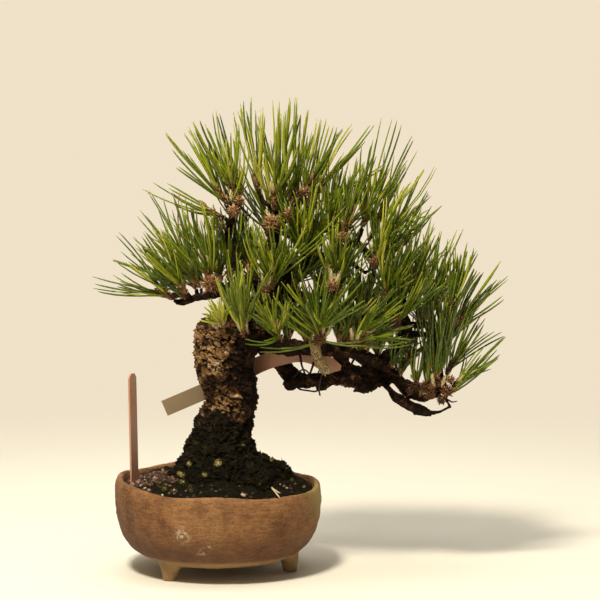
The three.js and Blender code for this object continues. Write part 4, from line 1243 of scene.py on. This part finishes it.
def make_ground(material):
    radii = np.linspace(4, SOIL_WALL_RADIUS, SOIL_RINGS)
    angles = np.linspace(0, FULL_TURN, SOIL_SEGMENTS, endpoint=False)
    x = (radii[:, None] * np.cos(angles)).ravel()
    y = (radii[:, None] * np.sin(angles)).ravel()
    share = moss_share(x, y)
    flat = np.stack([x, y, np.zeros_like(x)], 1)
    mound = layered_noise(flat / 8, 201, 4) + 0.5 * np.abs(layered_noise(flat / 4, 207, 2))
    top = soil_height(x, y) + share * (2.0 * mound + 1.0) * smoothstep(np.hypot(x, y), SOIL_WALL_RADIUS, 62)
    top += (1 - share) * 0.35 * layered_noise(flat / 2.5, 203, 2)
    vertices = shape_by_hand(np.stack([x, y, top], 1))
    wall = vertices[-SOIL_SEGMENTS:].copy()
    wall[:, 2] = SOIL_UNDERSIDE
    vertices = np.vstack([vertices, wall, [[0, 0, SOIL_UNDERSIDE]], [[0, 0, SOIL_PEAK]]])
    lowest = SOIL_RINGS * SOIL_SEGMENTS
    under = lowest + SOIL_SEGMENTS
    faces = []
    for turn in range(SOIL_SEGMENTS):
        ahead = (turn + 1) % SOIL_SEGMENTS
        for near in range(0, lowest, SOIL_SEGMENTS):
            far = near + SOIL_SEGMENTS
            faces.append((near + turn, far + turn, far + ahead, near + ahead))
        faces += [(lowest + turn, under, lowest + ahead), (turn, ahead, under + 1)]
    piece = mesh_piece("ground", place(vertices), faces, material)
    shares = np.concatenate([share, np.zeros(SOIL_SEGMENTS + 2)])
    colour_attribute(piece.data, "ground", np.stack([shares] * 3 + [np.ones_like(shares)], 1))
    return finish_piece(piece, "soil_and_moss", "soil")


def granule_body(draw, points, centre, radius, seed):
    """The points of a ball made lumpy, stretched and turned at random."""
    axis = Vector([draw.uniform(-1, 1) for _ in range(3)]).normalized()
    turn = np.array(Matrix.Rotation(draw.uniform(0, 6.28), 3, axis))
    stretch = np.array([draw.uniform(0.75, 1.2) for _ in range(3)])
    lumps = 1 + 0.16 * layered_noise(points * 1.6 + seed, 300 + seed, 2)
    return (points * stretch * lumps[:, None]) @ turn * radius + centre


def make_granules(material, wood_tree):
    """Loose pink-brown granules on the bare side, and a few in the moss."""
    draw = random.Random(77)
    points, faces = ball(2)
    sink = Sink()
    placed = 0
    for index in range(GRANULE_TRIES):
        angle = draw.uniform(0, FULL_TURN)
        radius = SOIL_WALL_RADIUS * math.sqrt(draw.uniform(0.1, 0.95))
        x, y = radius * math.cos(angle), radius * math.sin(angle)
        size = 0.55 + 0.95 * draw.random() ** 2
        mossy = moss_share(np.array([x]), np.array([y]))[0] > 0.4
        if radius + size > 65.4 or placed > MOST_GRANULES or (mossy and draw.random() > 0.06):
            continue
        centre = soil_point(x, y) + (0, 0, 0.35 * size + (1.0 if mossy else 0.0))
        if wood_tree.find_nearest(Vector(place(centre)), size * MM)[0] is None:
            tone = 0.95 * draw.random() ** 1.8
            body = granule_body(draw, points, centre, size, index)
            sink.add((body, faces), (tone, tone, tone, 1.0))
            placed += 1
    for x, y, size in WHITE_GRANULES:
        body = granule_body(draw, points, soil_point(x, y) + (0, 0, 0.8), size, int(1000 + x))
        sink.add((body, faces), (1.0, 1.0, 1.0, 1.0))
    finish_piece(sink.make("loose_granules", material, "ground"), "soil_and_moss")


def moss_blade(draw, point, normal, length):
    """A thin three-sided spike."""
    side = unit(np.cross(normal, (draw.uniform(-1, 1), draw.uniform(-1, 1), draw.uniform(-1, 1))))
    lean = unit(normal + 0.8 * side * draw.uniform(-1, 1) + np.array([0, 0, 0.3]))
    other = np.cross(lean, side)
    corners = [point - normal * 0.3 + 0.32 * (math.cos(turn) * side + math.sin(turn) * other)
               for turn in (0, 2.1, 4.2)]
    return corners + [point + lean * length], [(0, 1, 3), (1, 2, 3), (2, 0, 3), (2, 1, 0)]


def blade_colours(tone):
    return [(0.0, tone, 0.0, 1.0)] * 3 + [(1.0, tone, 0.0, 1.0)]


def front_surface(x, z, trees):
    """The nearest wood or ground seen from the front at X and Z, and its outward direction."""
    start = Vector(place([x, -100, z]))
    hits = [tree.ray_cast(start, Vector((0, 1, 0)), 0.15) for tree in trees]
    hits = [hit for hit in hits if hit[0] is not None]
    if not hits:
        return None, None
    nearest = min(hits, key=lambda hit: hit[3])
    return unplace(np.array(nearest[0])), np.array(nearest[1])


def make_moss(material, surfaces, trees):
    """Short fuzz on the mossy ground and on the foot of the trunk, with paler cushions."""
    draw = random.Random(909)
    sink = Sink()
    bead, bead_faces = ball(1)
    for point, out in itertools.chain(*(zip(*surface) for surface in surfaces)):
        patch = math.sin(point[0] * 0.31 + 1) * math.sin(point[1] * 0.27) + draw.uniform(-0.5, 0.5)
        tone = float(np.clip(0.3 + 0.25 * patch + draw.uniform(-0.2, 0.2), 0, 0.68))
        sink.add(moss_blade(draw, point, out, draw.uniform(0.8, 1.9)), blade_colours(tone))
    for x, z, radius, amount, tone in PALE_MOSS:
        for _ in range(amount):
            away = radius * 0.75 * math.sqrt(draw.random()) * draw.uniform(0.6, 1.0)
            turn = draw.uniform(0, FULL_TURN)
            hit, out = front_surface(x + away * math.cos(turn), z + 0.8 * away * math.sin(turn), trees)
            if hit is not None and layered_noise(hit[None] / 1.1, 411, 2)[0] > 0.4 * away / radius - 0.38:
                shade = tone + 0.08 - 0.60 * (away / radius) ** 2 + draw.uniform(-0.16, 0.04)
                shade = float(np.clip(shade, 0, 1))
                size = draw.uniform(0.25, 0.55)
                sink.add((bead * size + hit + out * 0.5 * size, bead_faces), (0.2, shade, 0.0, 1.0))
                sink.add(moss_blade(draw, hit, out, draw.uniform(0.8, 1.5)), blade_colours(shade))
    finish_piece(sink.make("moss_fuzz", material, "ground", smooth=False), "soil_and_moss")


def sample_surface(piece, amount, seed, weight):
    """Seeded points on a piece's faces, in millimetres, and their normals. Faces with more weight
    get more points."""
    faces = piece.data.polygons
    draw = np.random.default_rng(seed)
    centres = np.array([face.center for face in faces])
    outs = np.array([face.normal for face in faces])
    share = np.array([face.area for face in faces]) * weight(unplace(centres), outs)
    picked = draw.choice(len(faces), size=amount, p=share / share.sum())
    return unplace(centres[picked] + draw.normal(0, 0.0004, (amount, 3))), outs[picked]


def ground_weight(mm, outs):
    radius = np.hypot(mm[:, 0], mm[:, 1])
    return moss_share(mm[:, 0], mm[:, 1]) * (outs[:, 2] > 0.3) * (radius > 14)


def trunk_weight(mm, outs):
    return smoothstep(mm[:, 2], 98, 66) * (mm[:, 2] > 55)


# ---- floor and light
BACKDROP_TONE = (0.868, 0.757, 0.576)
STAGE_SIDES = 96
STAGE_RADIUS = 3.2
STAGE_HEIGHT = 4.0
FLOOR_HEIGHT = -0.0002
FLOOR_RINGS = (STAGE_RADIUS, 2.0, 1.0, 0.5, 0.0005)
CARD_HALF_WIDTH = 3.0
CARD_TURNS = np.linspace(0.1, math.pi / 2, 14)
CARD_LINE = [(0.9 + 0.6 * math.sin(turn), 0.6 - 0.6 * math.cos(turn)) for turn in CARD_TURNS]


def paper(name):
    """The floor's and the bounce card's pale paper."""
    sheet = Surface(name, 0.9, 0.1)
    sheet.finish(sheet.ramp(sheet.noise(3, 3, 0.5), (0.3, (0.79, 0.765, 0.7)), (0.7, (0.815, 0.79, 0.72))))
    return sheet


def round_sheet(name, rings, material):
    """A sheet around the middle of the scene, along rings of radius and height."""
    turns = np.linspace(0, FULL_TURN, STAGE_SIDES, endpoint=False)
    vertices = [(radius * math.cos(turn), radius * math.sin(turn), height) for radius, height in rings
                for turn in turns]
    sheet = mesh_piece(name, vertices, ring_faces(len(rings), STAGE_SIDES, False), material)
    return sheet


def make_stage():
    """A pale floor that fades into an even backdrop on all sides, and a bounce card behind the plant."""
    edges = [(x, y, z) for y, z in CARD_LINE + [(1.5, 3.0)] for x in (-CARD_HALF_WIDTH, CARD_HALF_WIDTH)]
    faces = [(2 * i, 2 * i + 1, 2 * i + 3, 2 * i + 2) for i in range(len(CARD_LINE))]
    card = mesh_piece("bounce_card", edges, faces, paper("pale_paper").material)
    card.visible_camera = False
    sheet = paper("pale_floor")
    away = sheet.add("VectorMath", {0: sheet.flat}, operation="LENGTH").outputs["Value"]
    glow = sheet.add("Emission", {"Color": BACKDROP_TONE})
    layers = {0: sheet.fade(away, 0.38, 0.88), 1: sheet.shader.outputs[0], 2: glow.outputs[0]}
    sheet.show(sheet.add("MixShader", layers))
    round_sheet("floor", [(radius, FLOOR_HEIGHT) for radius in FLOOR_RINGS], sheet.material)
    backdrop = Surface("backdrop")
    backdrop.show(backdrop.add("Emission", {"Color": BACKDROP_TONE}))
    rings = [(STAGE_RADIUS, STAGE_HEIGHT), (STAGE_RADIUS, FLOOR_HEIGHT)]
    wall = round_sheet("backdrop_wall", rings, backdrop.material)
    wall.visible_diffuse = False
    wall.visible_glossy = False
    wall.visible_shadow = False


def add_area_light(name, location, target, size, power, colour):
    data = bpy.data.lights.new(name, "AREA")
    data.shape = "SQUARE"
    data.size = size
    data.energy = power
    data.color = colour
    light = bpy.data.objects.new(name, data)
    light.location = location
    light.rotation_euler = (Vector(target) - Vector(location)).to_track_quat("-Z", "Y").to_euler()
    bpy.context.scene.collection.objects.link(light)


def make_light():
    world = bpy.data.worlds.new("studio")
    world.use_nodes = True
    background = world.node_tree.nodes["Background"]
    background.inputs["Color"].default_value = (1.0, 0.91, 0.68, 1)
    background.inputs["Strength"].default_value = 0.18
    bpy.context.scene.world = world
    add_area_light("key", (-0.36, -0.78, 1.36), (0, 0, 0.17), 0.22, 27.5, (1.0, 0.92, 0.73))
    add_area_light("backdrop", (0.0, 0.2, 2.3), (0, 1.3, 0.5), 1.6, 25, (1.0, 0.96, 0.90))


# ---- put together
bpy.context.scene.view_settings.view_transform = "Standard"
make_stage()
make_light()

bark, needles, scales = bark_material(), needle_material(), shoot_material()
make_pot(clay_material())
wood = make_wood(bark)
wood_tree = surface_tree(wood.data)
make_tufts(needles, scales, wood_tree)
make_inner_growth(needles, scales, wood_tree)
make_small_growth(needles, scales)
make_fine_twigs(bark)
ground = make_ground(soil_material())
make_granules(granule_material(), wood_tree)
fuzz = [sample_surface(ground, 2600, 31, ground_weight), sample_surface(wood, 1500, 37, trunk_weight)]
make_moss(moss_material(), fuzz, (wood_tree, surface_tree(ground.data)))

SALMON, SALMON_STAIN = (0.51, 0.25, 0.158), (0.44, 0.195, 0.118)
# the strip label in two tones of one plastic: taupe on the left is painted shade, the warmer right part
# painted light
TAUPE, TAUPE_STAIN, STRIP_LIT_RIGHT = (0.26, 0.184, 0.108), (0.22, 0.15, 0.088), (0.42, 0.2, 0.12)
BLACK, DUST = (0.02, 0.02, 0.02), (0.05, 0.05, 0.05)
CARRIED = {
    "plant_label": plastic_material("salmon_plastic", SALMON, SALMON_STAIN, 0.45),
    "strip_label": plastic_material("taupe_plastic", TAUPE, TAUPE_STAIN, 0.55, STRIP_LIT_RIGHT),
    "training_wire": wire_material(),
    "drain_mesh": plastic_material("black_net", BLACK, DUST, 0.6),
}
for node_name, node_material in CARRIED.items():
    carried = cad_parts[node_name]
    carried.data.materials.clear()
    carried.data.materials.append(node_material)
